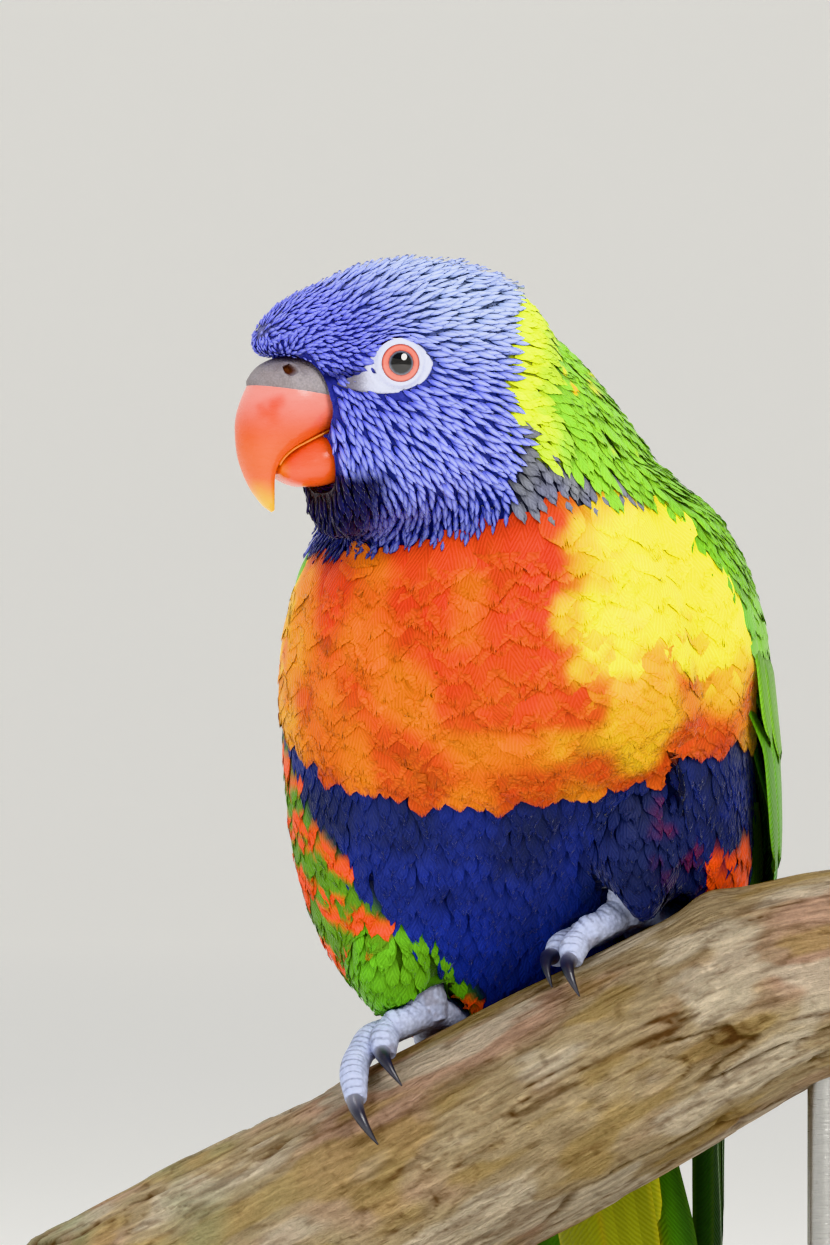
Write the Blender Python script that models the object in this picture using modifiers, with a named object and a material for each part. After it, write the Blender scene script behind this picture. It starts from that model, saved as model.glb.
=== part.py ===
"""Life-size still model of a rainbow lorikeet on a cut length of branch, held by a display stand.

Units are metres, +Z is up. The origin is the centre of the base's underside. The bird is modelled in
its own frame first: +X is where its breast faces, +Y is its left side, and z = 0 is the top of the
perch midway between its feet. One empty turns and lifts the bird together with its perch.
"""

import math

import bmesh
import bpy
import numpy as np
from mathutils import Matrix, Vector

# Where things stand
GAP = 0.0003
FEATHERS_OVER_PERCH = 0.0006
PERCH_TOP = 0.1330
PERCH_RADIUS = 0.0185
PERCH_LENGTHS = (-0.092, 0.078)
PERCH_RISE = math.radians(27.9)
PERCH_YAW = math.radians(-15.0)
PERCH_BEND_FROM = 0.028
PERCH_BEND_TO = 0.056
PERCH_BEND = 6.0
KNOT = (0.0345, 0.15)
KNOT_HEIGHT = 0.0014
BIRD_YAW = math.radians(-25.0)
BIRD_BACK_FROM_ORIGIN = -0.004

# Trunk: height, breast x, back x, half width over the breast, half width under the wings
TRUNK = (
    (-0.0620, -0.0468, -0.0490, 0.0040, 0.0040),
    (-0.0560, -0.0430, -0.0480, 0.0070, 0.0070),
    (-0.0450, -0.0370, -0.0460, 0.0098, 0.0098),
    (-0.0320, -0.0300, -0.0432, 0.0118, 0.0118),
    (-0.0200, -0.0235, -0.0410, 0.0140, 0.0140),
    (-0.0100, -0.0170, -0.0400, 0.0184, 0.0176),
    (-0.0020, -0.0085, -0.0396, 0.0234, 0.0222),
    (0.0060, 0.0010, -0.0395, 0.0280, 0.0262),
    (0.0130, 0.0100, -0.0396, 0.0322, 0.0294),
    (0.0200, 0.0180, -0.0396, 0.0356, 0.0316),
    (0.0300, 0.0275, -0.0388, 0.0388, 0.0334),
    (0.0400, 0.0332, -0.0372, 0.0397, 0.0340),
    (0.0500, 0.0356, -0.0345, 0.0399, 0.0340),
    (0.0600, 0.0352, -0.0303, 0.0385, 0.0332),
    (0.0680, 0.0334, -0.0266, 0.0354, 0.0316),
    (0.0750, 0.0314, -0.0228, 0.0314, 0.0292),
    (0.0820, 0.0303, -0.0190, 0.0276, 0.0268),
    (0.0900, 0.0305, -0.0144, 0.0242, 0.0242),
    (0.0980, 0.0310, -0.0084, 0.0206, 0.0206),
    (0.1060, 0.0280, 0.0004, 0.0144, 0.0144),
    (0.1100, 0.0220, 0.0080, 0.0060, 0.0060),
)
# The belly follows the slope of the perch below, and the body above stays upright
BELLY_SLOPE = (-0.176, 0.537)
BELLY_SLOPE_FADES = (0.010, 0.056)
VENT_SLOPE_FADES = (-0.030, -0.008)
BREAST_SQUARENESS = 2.3
BREAST_EDGE = (math.radians(60.0), math.radians(88.0))
TRUNK_LEAN_TO_HEAD = ((0.070, 0.0), (0.082, -0.0010), (0.094, -0.0035), (0.112, -0.0060))

# Sheet that the folded wings lie on: height, middle x, reach back, half width
MANTLE_FROM = 0.012
MANTLE_BELOW = (
    (-0.0700, -0.0505, 0.0085, 0.0142),
    (-0.0400, -0.0400, 0.0100, 0.0158),
    (-0.0200, -0.0325, 0.0118, 0.0180),
)
MANTLE = MANTLE_BELOW + tuple(
    (height, (breast + back) / 2, (breast - back) / 2, narrow)
    for height, breast, back, _, narrow in TRUNK
    if height >= MANTLE_FROM
)

# Head, in its own frame: +X to the bill, origin at the middle of the skull
HEAD_CENTRE = (0.0262, -0.0062, 0.0990)
HEAD_TURN = math.radians(-43.0)
# x, crown height, throat height, half width
HEAD = (
    (-0.0235, 0.0020, -0.0060, 0.0040),
    (-0.0210, 0.0078, -0.0120, 0.0100),
    (-0.0150, 0.0143, -0.0195, 0.0148),
    (-0.0080, 0.0174, -0.0240, 0.0170),
    (-0.0010, 0.0182, -0.0262, 0.0174),
    (0.0060, 0.0178, -0.0268, 0.0168),
    (0.0120, 0.0166, -0.0275, 0.0143),
    (0.0160, 0.0152, -0.0278, 0.0118),
    (0.0180, 0.0144, -0.0255, 0.0112),
    (0.0196, 0.0137, -0.0120, 0.0106),
    (0.0216, 0.0128, -0.0020, 0.0099),
    (0.0248, 0.0108, 0.0004, 0.0086),
    (0.0276, 0.0079, 0.0011, 0.0064),
    (0.0292, 0.0050, 0.0026, 0.0028),
)
WIDEST_OF_HEAD = 0.46
HEAD_SQUARENESS = 0.93

# Skin of trunk, neck and head, fused: size of a cell, rounds of smoothing, triangles left
BODY_CELL = 0.0012
BODY_SMOOTHING = 4
BODY_TRIANGLES = 1860

# Bill, in the head's frame: x and z of the ridge and of the cutting edge, and the half width
UPPER_BILL = (
    (0.0165, 0.0030, 0.0120, -0.0072, 0.0072),
    (0.0225, 0.0024, 0.0152, -0.0088, 0.0080),
    (0.0268, 0.0006, 0.0182, -0.0102, 0.0080),
    (0.0298, -0.0040, 0.0210, -0.0116, 0.0073),
    (0.0311, -0.0090, 0.0234, -0.0130, 0.0063),
    (0.0307, -0.0140, 0.0250, -0.0148, 0.0050),
    (0.0291, -0.0184, 0.0256, -0.0172, 0.0035),
    (0.0271, -0.0213, 0.0254, -0.0200, 0.0021),
    (0.0256, -0.0226, 0.0251, -0.0222, 0.0008),
)
CERE_EDGE = ((0.0197, 0.0, -0.0029), (-0.173, 0.0, 0.985))
LOWER_BILL = (
    (0.0120, -0.0075, 0.0120, -0.0168, 0.0056),
    (0.0172, -0.0089, 0.0172, -0.0184, 0.0062),
    (0.0206, -0.0109, 0.0206, -0.0186, 0.0056),
    (0.0232, -0.0131, 0.0234, -0.0178, 0.0043),
    (0.0247, -0.0148, 0.0250, -0.0166, 0.0028),
)
NOSTRIL = (0.0246, 0.0062, -0.0002)
NOSTRIL_RADIUS = 0.0009
NOSTRIL_DEPTH = 0.0022
BILL_POINTS_AROUND = 14
BILL_CORNER = 0.62
BILL_ARCH = 0.8

# Eyes, in the head's frame
EYE_PLACE = (0.0088, 0.0121, 0.0008)
EYE_RADIUS = 0.0047
EYE_TURN = math.radians(15.0)
LID_RING = 0.0041
LID_THICKNESS = 0.0012
LID_RISE = 0.0004
LID_FRONT_POINT = 0.55
LID_REAR_POINT = 0.25
HEAD_CURVE = 0.024

# Cuts that part the whole form, as a point and the direction of the upper piece
NECK_FROM_TORSO = ((0.0360, 0.0, 0.0700), (0.25, 0.0, 0.968))
HEAD_FROM_NECK = ((-0.0150, 0.0, 0.0147), (0.955, 0.0, 0.297))
BACK_FROM_TORSO = ((-0.0185, 0.0, 0.0), (-0.990, 0.0, 0.139))
TAIL_FROM_TORSO = 0.0125

# Vanes: places along one, and its half width there
FEATHER_THICKNESS = 0.0005
VANE_STATIONS = (0.0, 0.42, 0.80, 1.0)
BLUNT_VANE = (0.66, 0.98, 0.94, 0.42)
POINTED_VANE = (0.70, 1.0, 0.78, 0.20)
TIP_ROUNDING = 0.045

# Wings: folded, each vane from root to tip, both as a height and degrees round the mantle
WING_CORE_HEIGHTS = (0.0790, 0.0060)
WING_CORE_FLOOR = -0.0012
WING_CORE_TOP = 0.0044
WING_CORE_END = 0.0022
ROOT_SHARE = 0.40
PRIMARIES = 5
PRIMARY_ROOT = (0.0300, 100, 112)
PRIMARY_TIPS = (-0.0660, -0.0320, 150, 146)
SECONDARIES = 6
SECONDARY_ROOT = (0.0420, 103, 166)
SECONDARY_TIPS = (-0.0130, 0.0020, 124, 164)
# Coverts: how many, height of roots and tips, first and last degrees, half width, lift of root and vane
COVERT_TIERS = (
    (7, 0.0520, 0.0190, 88, 168, 0.0054, 0.0022, 0.0052),
    (5, 0.0630, 0.0380, 89, 162, 0.0068, 0.0028, 0.0059),
    (4, 0.0720, 0.0540, 91, 149, 0.0072, 0.0030, 0.0066),
)
COVERT_TILT = 0.0005

# Tail
TAIL_ROOT = (-0.0262, 0.0, -0.0030)
TAIL_DIRECTION = math.radians(70.0)
TAIL_LENGTHS = (0.118, 0.113, 0.104, 0.094, 0.083, 0.071)
TAIL_FEATHER_HALF = 0.0055
TAIL_STEP = 0.0009
TAIL_FEATHERS_FROM = 0.018

# Legs and feet, placed along the perch
TOE_RADIUS = 0.0024
SHANK_RADIUS = 0.0032
SHANK_RISE = 0.0125
THIGH_SIZE = (0.0125, 0.0100, 0.0150)
# One toe: its name, three points on the bark and the tip of its claw, each as a distance along the
# perch, degrees round it and, but for the tip, a height over the bark
LEFT_TOES = (
    ("inner_front", (0.0150, -7.0, 0.0008), (0.0104, -4.0, 0.0011), (0.0075, 10.0, 0.0), (0.0068, 35.0)),
    ("outer_front", (0.0170, 9.0, 0.0010), (0.0134, 15.0, 0.0008), (0.0112, 28.0, 0.0), (0.0110, 51.0)),
    ("inner_back", (0.0190, -24.0, 0.0006), (0.0178, -40.0, 0.0006), (0.0172, -54.0, 0.0), (0.0176, -78.0)),
    ("outer_back", (0.0235, -22.0, 0.0006), (0.0253, -42.0, 0.0006), (0.0262, -60.0, 0.0), (0.0262, -84.0)),
)
RIGHT_TOES = (
    ("inner_front", (-0.0190, 9.0, 0.0012), (-0.0218, 14.0, 0.0014), (-0.0232, 27.0, 0.0), (-0.0216, 50.0)),
    ("outer_front", (-0.0228, 4.0, 0.0010), (-0.0272, 22.0, 0.0008), (-0.0292, 49.0, 0.0), (-0.0285, 73.0)),
    ("inner_back", (-0.0145, -22.0, 0.0006), (-0.013, -38.0, 0.0006), (-0.0125, -52.0, 0.0), (-0.0125, -76)),
    ("outer_back", (-0.0195, -20.0, 0.0006), (-0.0215, -40.0, 0.0006), (-0.0222, -58.0, 0.0), (-0.022, -82)),
)
# One foot: where it stands along the perch, the middle of the thigh above it, and its toes
FEET = {
    "left": (0.0205, (-0.0010, 0.0205, 0.0250), LEFT_TOES),
    "right": (-0.0165, (0.0045, -0.0205, 0.0070), RIGHT_TOES),
}
TOE_KNUCKLES = (1.10, 1.12, 0.98, 1.08, 0.94, 0.98, 0.74)
CLAW_RADIUS = 0.00125

# Stand
BASE_RADIUS = 0.074
BASE_THICKNESS = 0.014
BASE_EDGE = 0.0015
ROD_RADIUS = 0.0025
ROD_ALONG = (-0.042, 0.046)
ROD_SUNK = 0.010

# Finish of each kind of surface: colour, roughness, metallic
FINISHES = {
    "head_plumage": ((0.075, 0.085, 0.62, 1.0), 0.75, 0.0),
    "neck_plumage": ((0.42, 0.72, 0.05, 1.0), 0.75, 0.0),
    "breast_plumage": ((0.90, 0.20, 0.02, 1.0), 0.75, 0.0),
    "back_plumage": ((0.10, 0.40, 0.03, 1.0), 0.70, 0.0),
    "wing_plumage": ((0.05, 0.34, 0.03, 1.0), 0.60, 0.0),
    "tail_plumage": ((0.12, 0.38, 0.03, 1.0), 0.60, 0.0),
    "thigh_plumage": ((0.13, 0.50, 0.03, 1.0), 0.75, 0.0),
    "bill_horn": ((0.86, 0.15, 0.04, 1.0), 0.28, 0.0),
    "cere_skin": ((0.30, 0.27, 0.27, 1.0), 0.60, 0.0),
    "eye_glass": ((0.60, 0.09, 0.05, 1.0), 0.08, 0.0),
    "foot_skin": ((0.36, 0.37, 0.46, 1.0), 0.65, 0.0),
    "claw_horn": ((0.07, 0.07, 0.09, 1.0), 0.35, 0.0),
    "bark": ((0.44, 0.30, 0.17, 1.0), 0.85, 0.0),
    "base_wood": ((0.09, 0.045, 0.022, 1.0), 0.35, 0.0),
    "rod_steel": ((0.55, 0.54, 0.52, 1.0), 0.25, 1.0),
}


def clear_scene():
    for obj in list(bpy.data.objects):
        bpy.data.objects.remove(obj)


def new_collection(name):
    collection = bpy.data.collections.new(name)
    bpy.context.scene.collection.children.link(collection)
    return collection


def material(slot):
    found = bpy.data.materials.get(slot)
    if found:
        return found
    colour, roughness, metallic = FINISHES[slot]
    made = bpy.data.materials.new(slot)
    made.use_nodes = True
    shader = made.node_tree.nodes["Principled BSDF"]
    shader.inputs["Base Color"].default_value = colour
    shader.inputs["Roughness"].default_value = roughness
    shader.inputs["Metallic"].default_value = metallic
    return made


def new_object(name, mesh, collection):
    obj = bpy.data.objects.new(name, mesh)
    collection.objects.link(obj)
    return obj


def finish_node(obj, name, slot, parent=None):
    """Names a part, gives it its finish and parents it."""
    obj.name = name
    obj.data.name = name
    obj.data.materials.clear()
    obj.data.materials.append(material(slot))
    obj.data.shade_smooth()
    obj.data.set_sharp_from_angle(angle=math.radians(40.0))
    obj.hide_render = False
    obj.display_type = "TEXTURED"
    if parent is not None:
        obj.parent = parent
    return obj


def smooth_table(rows, at):
    """The row at a place along a table of rows, by a cubic through its neighbours that doesn't overshoot."""
    table = np.array(rows, float)
    keys, values = table[:, 0], table[:, 1:]
    at = float(np.clip(at, keys[0], keys[-1]))
    i = int(np.clip(np.searchsorted(keys, at) - 1, 0, len(keys) - 2))
    steps = np.diff(keys)
    slopes = np.diff(values, axis=0) / steps[:, None]
    tangents = np.vstack([slopes[:1], (slopes[1:] + slopes[:-1]) / 2, slopes[-1:]])
    turning = slopes[1:] * slopes[:-1] <= 0
    tangents[1:-1][turning] = 0
    t = (at - keys[i]) / steps[i]
    a, b = values[i], values[i + 1]
    ta, tb = tangents[i] * steps[i], tangents[i + 1] * steps[i]
    leaving = (2 * t**3 - 3 * t**2 + 1) * a + (t**3 - 2 * t**2 + t) * ta
    arriving = (3 * t**2 - 2 * t**3) * b + (t**3 - t**2) * tb
    return leaving + arriving


def smoothstep(low, high, x):
    t = min(1.0, max(0.0, (x - low) / (high - low)))
    return t * t * (3 - 2 * t)


def signed_power(value, power):
    return math.copysign(abs(value) ** power, value)


def loft(name, rings, collection, poles=True):
    """One closed mesh through rings of points, its ends closed by a pole or a flat face."""
    shape = bmesh.new()
    made = [[shape.verts.new(p) for p in ring] for ring in rings]
    count = len(rings[0])
    for low, high in zip(made[:-1], made[1:]):
        for i in range(count):
            j = (i + 1) % count
            shape.faces.new((low[i], low[j], high[j], high[i]))
    for ring, turn in ((made[0], -1), (made[-1], 1)):
        if poles:
            middle = sum((v.co for v in ring), Vector()) / count
            pole = shape.verts.new(middle)
            for i in range(count):
                j = (i + 1) % count
                shape.faces.new((ring[i], ring[j], pole)[::turn])
        else:
            shape.faces.new(ring[::turn])
    bmesh.ops.recalc_face_normals(shape, faces=shape.faces)
    mesh = bpy.data.meshes.new(name)
    shape.to_mesh(mesh)
    shape.free()
    return new_object(name, mesh, collection)


def copy_of(obj, name, collection):
    return new_object(name, obj.data.copy(), collection)


def apply_modifiers(obj):
    bpy.context.view_layer.update()
    graph = bpy.context.evaluated_depsgraph_get()
    mesh = bpy.data.meshes.new_from_object(obj.evaluated_get(graph))
    obj.modifiers.clear()
    obj.data = mesh
    return obj


def cylinder(name, corners, radius, length, place, collection):
    """A cylinder along the local Z of a place."""
    bpy.ops.mesh.primitive_cylinder_add(vertices=corners, radius=radius, depth=length)
    made = bpy.context.object
    made.data.transform(place)
    for old in list(made.users_collection):
        old.objects.unlink(made)
    collection.objects.link(made)
    made.name = name
    return made


def curve_to_mesh(obj, collection):
    """A curve made a closed mesh of its own, with its caps welded."""
    bpy.context.view_layer.update()
    graph = bpy.context.evaluated_depsgraph_get()
    mesh = bpy.data.meshes.new_from_object(obj.evaluated_get(graph))
    shape = bmesh.new()
    shape.from_mesh(mesh)
    bmesh.ops.remove_doubles(shape, verts=shape.verts, dist=0.00002)
    bmesh.ops.recalc_face_normals(shape, faces=shape.faces)
    shape.to_mesh(mesh)
    shape.free()
    made = new_object(obj.name + "_mesh", mesh, collection)
    made.matrix_world = obj.matrix_world
    bpy.data.objects.remove(obj)
    return made


def area_round(verts):
    """Area of the faces that meet a set of corners."""
    faces = {face for vert in verts for face in vert.link_faces}
    return sum(face.calc_area() for face in faces)


def keep_largest(obj):
    """Drops every closed surface but the largest, so that the node is one body."""
    shape = bmesh.new()
    shape.from_mesh(obj.data)
    unseen = set(shape.verts)
    islands = []
    while unseen:
        stack = [unseen.pop()]
        island = set(stack)
        while stack:
            for edge in stack.pop().link_edges:
                for vert in edge.verts:
                    if vert in unseen:
                        unseen.discard(vert)
                        island.add(vert)
                        stack.append(vert)
        islands.append(island)
    largest = max(islands, key=area_round)
    loose = [v for island in islands if island is not largest for v in island]
    bmesh.ops.delete(shape, geom=loose, context="VERTS")
    shape.to_mesh(obj.data)
    shape.free()
    return obj


def combine(obj, others, operation, solver="EXACT"):
    """One Boolean on obj with the closed meshes in others, which are then removed."""
    pile = new_collection("cutters")
    for other in others:
        for old in list(other.users_collection):
            old.objects.unlink(other)
        pile.objects.link(other)
        other.hide_render = True
        other.display_type = "WIRE"
    step = obj.modifiers.new(operation, "BOOLEAN")
    step.operation = operation
    step.solver = solver
    step.operand_type = "COLLECTION"
    step.collection = pile
    apply_modifiers(obj)
    for other in list(pile.objects):
        bpy.data.objects.remove(other)
    bpy.data.collections.remove(pile)
    return obj


def grown(obj, distance, collection):
    """A copy whose surface stands a little further out."""
    made = copy_of(obj, obj.name + "_grown", collection)
    shape = bmesh.new()
    shape.from_mesh(made.data)
    shape.normal_update()
    moves = [(v, v.normal * distance) for v in shape.verts]
    for vert, move in moves:
        vert.co += move
    shape.to_mesh(made.data)
    shape.free()
    return made


def half_of(obj, name, point, direction, collection):
    """The part of a closed form on one side of a plane, closed by a flat face."""
    made = copy_of(obj, name, collection)
    shape = bmesh.new()
    shape.from_mesh(made.data)
    geometry = list(shape.verts) + list(shape.edges) + list(shape.faces)
    cut = bmesh.ops.bisect_plane(
        shape, geom=geometry, plane_co=point, plane_no=direction, clear_inner=True, dist=1e-7
    )
    edges = [g for g in cut["geom_cut"] if isinstance(g, bmesh.types.BMEdge)]
    bmesh.ops.holes_fill(shape, edges=edges, sides=0)
    bmesh.ops.triangulate(shape, faces=shape.faces)
    bmesh.ops.recalc_face_normals(shape, faces=shape.faces)
    shape.to_mesh(made.data)
    shape.free()
    return made


def trunk_ring(height, count=36):
    """One level section of the trunk: fuller over the breast, flatter where a wing lies."""
    breast, back, wide, narrow = smooth_table(TRUNK, height)
    middle = (breast + back) / 2
    lean = smooth_table(TRUNK_LEAN_TO_HEAD, height)[0]
    ring = []
    for i in range(count):
        angle = math.tau * i / count
        across = min(angle, math.tau - angle)
        share = smoothstep(*BREAST_EDGE, across)
        half = wide + (narrow - wide) * share
        power = 2 / (BREAST_SQUARENESS + (2 - BREAST_SQUARENESS) * share)
        x = middle + (breast - middle) * signed_power(math.cos(angle), power)
        y = lean + half * signed_power(math.sin(angle), power)
        tilt = (1 - smoothstep(*BELLY_SLOPE_FADES, height)) * smoothstep(*VENT_SLOPE_FADES, height)
        ring.append((x + BELLY_SLOPE[0] * y * tilt, y, height + BELLY_SLOPE[1] * y * tilt))
    return ring


def trunk_form(collection):
    top, bottom = TRUNK[-1][0], TRUNK[0][0]
    levels = 48
    heights = [bottom + (top - bottom) * i / (levels - 1) for i in range(levels)]
    return loft("trunk_form", [trunk_ring(z) for z in heights], collection)


def head_frame():
    return Matrix.Translation(HEAD_CENTRE) @ Matrix.Rotation(HEAD_TURN, 4, "Z")


def head_form(collection):
    count = 32
    sections = 26
    first, last = HEAD[0][0], HEAD[-1][0]
    rings = []
    for k in range(sections):
        share = (1 - math.cos(math.pi * k / (sections - 1))) / 2
        x = first + (last - first) * share
        crown, throat, half = smooth_table(HEAD, x)
        widest = throat + (crown - throat) * WIDEST_OF_HEAD
        ring = []
        for i in range(count):
            angle = math.tau * i / count
            rise = (crown if math.sin(angle) > 0 else throat) - widest
            z = widest + rise * abs(math.sin(angle))
            ring.append((x, half * signed_power(math.cos(angle), HEAD_SQUARENESS), z))
        rings.append(ring)
    made = loft("head_form", rings, collection)
    made.data.transform(head_frame())
    return made


def refine(obj, cell, passes, triangles):
    """Fuses a form's pieces into one smooth skin and thins it to a number of triangles."""
    fuse = obj.modifiers.new("fuse", "REMESH")
    fuse.mode = "VOXEL"
    fuse.voxel_size = cell
    ease = obj.modifiers.new("ease", "SMOOTH")
    ease.factor = 0.5
    ease.iterations = passes
    apply_modifiers(obj)
    faces = sum(len(p.vertices) - 2 for p in obj.data.polygons)
    thin = obj.modifiers.new("thin", "DECIMATE")
    thin.ratio = triangles / faces
    return apply_modifiers(obj)


def whole_body(scratch):
    """Trunk, neck and head as one smooth form."""
    body = trunk_form(scratch)
    combine(body, [head_form(scratch)], "UNION")
    return refine(body, BODY_CELL, BODY_SMOOTHING, BODY_TRIANGLES)


def bill_rings(table, sections, spare=0.0):
    """Sections between a ridge line and a cutting edge: an arch that is fuller towards the edge."""
    count = BILL_POINTS_AROUND
    rings = []
    rows = [(i, *row) for i, row in enumerate(table)]
    for k in range(sections):
        at = (len(table) - 1) * k / (sections - 1)
        ridge_x, ridge_z, edge_x, edge_z, half = smooth_table(rows, at)
        ridge, edge = Vector((ridge_x, 0, ridge_z + spare)), Vector((edge_x, 0, edge_z - spare))
        half += spare
        ring = []
        for i in range(count):
            angle = math.tau * i / count
            down = ((1 - math.cos(angle)) / 2) ** 0.85
            side = signed_power(math.sin(angle), BILL_CORNER if math.cos(angle) < 0 else BILL_ARCH)
            point = ridge.lerp(edge, down)
            ring.append((point.x, half * side, point.z))
        rings.append(ring)
    return rings


def bill_parts(parts, scratch, bird):
    """Cere, upper bill and lower bill, each a loft in the head's frame."""
    whole = loft("bill", bill_rings(UPPER_BILL, 15), scratch)
    point, direction = (Vector(v) for v in CERE_EDGE)
    cere = half_of(whole, "cere", point + direction * GAP / 2, direction, parts)
    upper = half_of(whole, "bill_upper", point - direction * GAP / 2, -direction, parts)
    lower = loft("bill_lower", bill_rings(LOWER_BILL, 9), parts)
    level = Matrix.Rotation(math.pi / 2, 4, "X")
    for side in (-1, 1):
        place = Matrix.Translation((NOSTRIL[0], side * NOSTRIL[1], NOSTRIL[2]))
        hole = cylinder("nostril", 12, NOSTRIL_RADIUS, 2 * NOSTRIL_DEPTH, place @ level, scratch)
        combine(cere, [hole], "DIFFERENCE")
    combine(lower, [grown(whole, GAP, scratch)], "DIFFERENCE")
    keep_largest(lower)
    room = [grown(whole, GAP, scratch), loft("room", bill_rings(LOWER_BILL, 9, GAP), scratch)]
    for obj in room:
        obj.data.transform(head_frame())
    for obj, slot in ((cere, "cere_skin"), (upper, "bill_horn"), (lower, "bill_horn")):
        obj.data.transform(head_frame())
        finish_node(obj, obj.name, slot, bird)
    return room


def eye_matrix(side):
    x, y, z = EYE_PLACE
    facing = Matrix.Rotation(-side * EYE_TURN, 4, "Z")
    out = Matrix.Rotation(-side * math.pi / 2, 4, "X")
    return head_frame() @ Matrix.Translation((x, side * y, z)) @ facing @ out


def eye_ball(side, radius, name, collection):
    shape = bmesh.new()
    bmesh.ops.create_uvsphere(shape, u_segments=16, v_segments=8, radius=radius)
    bmesh.ops.transform(shape, matrix=eye_matrix(side), verts=shape.verts)
    mesh = bpy.data.meshes.new(name)
    shape.to_mesh(mesh)
    shape.free()
    return new_object(name, mesh, collection)


def lid_ring(side, collection):
    """The bare ring of skin round the eye, raised a little over the plumage."""
    bpy.ops.mesh.primitive_torus_add(
        major_segments=16, minor_segments=5, major_radius=LID_RING, minor_radius=LID_THICKNESS
    )
    ring = bpy.context.object
    lift = math.sqrt(EYE_RADIUS**2 - LID_RING**2) + LID_RISE
    for vert in ring.data.vertices:
        forward = vert.co.x / LID_RING
        share = LID_FRONT_POINT if forward > 0 else LID_REAR_POINT
        stretch = 1 + share * abs(min(1.2, abs(forward))) ** 5
        vert.co.x *= stretch
        vert.co.z -= (vert.co.x**2) / (2 * HEAD_CURVE)
    ring.data.transform(eye_matrix(side) @ Matrix.Translation((0, 0, lift)))
    for old in list(ring.users_collection):
        old.objects.unlink(ring)
    collection.objects.link(ring)
    return ring


def head_parts(head, bill_room, parts, scratch, bird):
    """Fits the bill, the eyes and their lids to the head."""
    combine(head, [lid_ring(side, scratch) for side in (-1, 1)], "UNION")
    combine(head, [eye_ball(side, EYE_RADIUS + GAP, "socket", scratch) for side in (-1, 1)], "DIFFERENCE")
    combine(head, bill_room, "DIFFERENCE")
    keep_largest(head)
    finish_node(head, "head", "head_plumage", bird)
    for side, word in ((1, "left"), (-1, "right")):
        finish_node(eye_ball(side, EYE_RADIUS, "eye", parts), "eye_" + word, "eye_glass", bird)


def perch_axes():
    """The perch in the bird's frame: its direction, its upward normal and its front."""
    turn = PERCH_YAW - BIRD_YAW
    level = Vector((-math.sin(turn), math.cos(turn), 0))
    front = Vector((math.cos(turn), math.sin(turn), 0))
    along = level * math.cos(PERCH_RISE) + Vector((0, 0, math.sin(PERCH_RISE)))
    up = Vector((0, 0, math.cos(PERCH_RISE))) - level * math.sin(PERCH_RISE)
    return along, up, front


def perch_radius(along, angle):
    """The branch thins towards its high end, and has long shallow swellings and one knot."""
    taper = 1 - (2.2 if along > 0 else 1.2) * along
    swell = 0.016 * math.sin(58 * along + 2 * angle) + 0.012 * math.sin(3 * angle + 91 * along)
    calm = smoothstep(0.034, 0.052, abs(along))
    turned = math.atan2(math.sin(angle - KNOT[1]), math.cos(angle - KNOT[1]))
    knot = KNOT_HEIGHT * math.exp(-(((along - KNOT[0]) / 0.0045) ** 2) - (turned / 0.40) ** 2)
    return PERCH_RADIUS * (taper + swell * calm) + knot


def perch_drop(along):
    """How far the high end bends down from the straight line."""
    past = max(0.0, along - PERCH_BEND_FROM)
    reach = PERCH_BEND_TO - PERCH_BEND_FROM
    return PERCH_BEND * (past**2 if past < reach else reach**2 + 2 * reach * (past - reach))


def on_perch(along, angle, lift):
    """A point over the perch's surface: angle 0 is its top, and it grows towards the front."""
    direction, up, front = perch_axes()
    radius = perch_radius(along, angle) + lift
    middle = direction * along - up * (PERCH_RADIUS + perch_drop(along))
    return middle + up * (radius * math.cos(angle)) + front * (radius * math.sin(angle))


def perch_form(name, lift, collection):
    count = 20
    low, high = PERCH_LENGTHS
    sections = 20
    rings = []
    for k in range(sections):
        along = low + (high - low) * k / (sections - 1)
        rings.append([on_perch(along, math.tau * i / count, lift) for i in range(count)])
    return loft(name, rings, collection, poles=False)


def mantle(height, angle, lift):
    """A point over the sheet that a folded wing lies on. Angle 90 degrees is the side, 180 the back."""
    middle, reach, half = smooth_table(MANTLE, height)
    normal = Vector((math.cos(angle) / reach, math.sin(angle) / half, 0)).normalized()
    return Vector((middle + reach * math.cos(angle), half * math.sin(angle), height)) + normal * lift


def vane(name, surface, stations, widths, collection):
    """One feather: a sheet with three points across, laid on surface(place, across), made solid."""
    rows = len(stations) - 1
    shape = bmesh.new()
    bmesh.ops.create_grid(shape, x_segments=2, y_segments=rows, size=1.0)
    for vert in shape.verts:
        k = round((vert.co.y + 1) / 2 * rows)
        across = vert.co.x
        place = stations[k] - (TIP_ROUNDING * across**2 if k == rows else 0.0)
        vert.co = surface(place, across * widths[k])
    bmesh.ops.triangulate(shape, faces=shape.faces)
    mesh = bpy.data.meshes.new(name)
    shape.to_mesh(mesh)
    shape.free()
    made = new_object(name, mesh, collection)
    body = made.modifiers.new("body", "SOLIDIFY")
    body.thickness = FEATHER_THICKNESS
    body.offset = 0.0
    return apply_modifiers(made)


def wing_vane(side, root, tip, half_width, root_lift, lift, tilt, profile, collection):
    """A wing feather from root to tip, both (height, angle), shingled by a small tilt."""

    def surface(t, width):
        z = root[0] + (tip[0] - root[0]) * t
        angle = root[1] + (tip[1] - root[1]) * t**1.3
        height = root_lift + (lift - root_lift) * smoothstep(0.0, ROOT_SHARE, t)
        here = mantle(z, angle, height)
        step = 0.02
        along_angle = (mantle(z, angle + step, height) - here).length / step
        point = mantle(z, angle + width / along_angle, height - tilt * width / half_width)
        point.y *= side
        return point

    widths = [half_width * share for share in profile]
    return vane("vane", surface, VANE_STATIONS, widths, collection)


def between(first, last, share):
    return first + (last - first) * share


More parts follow.
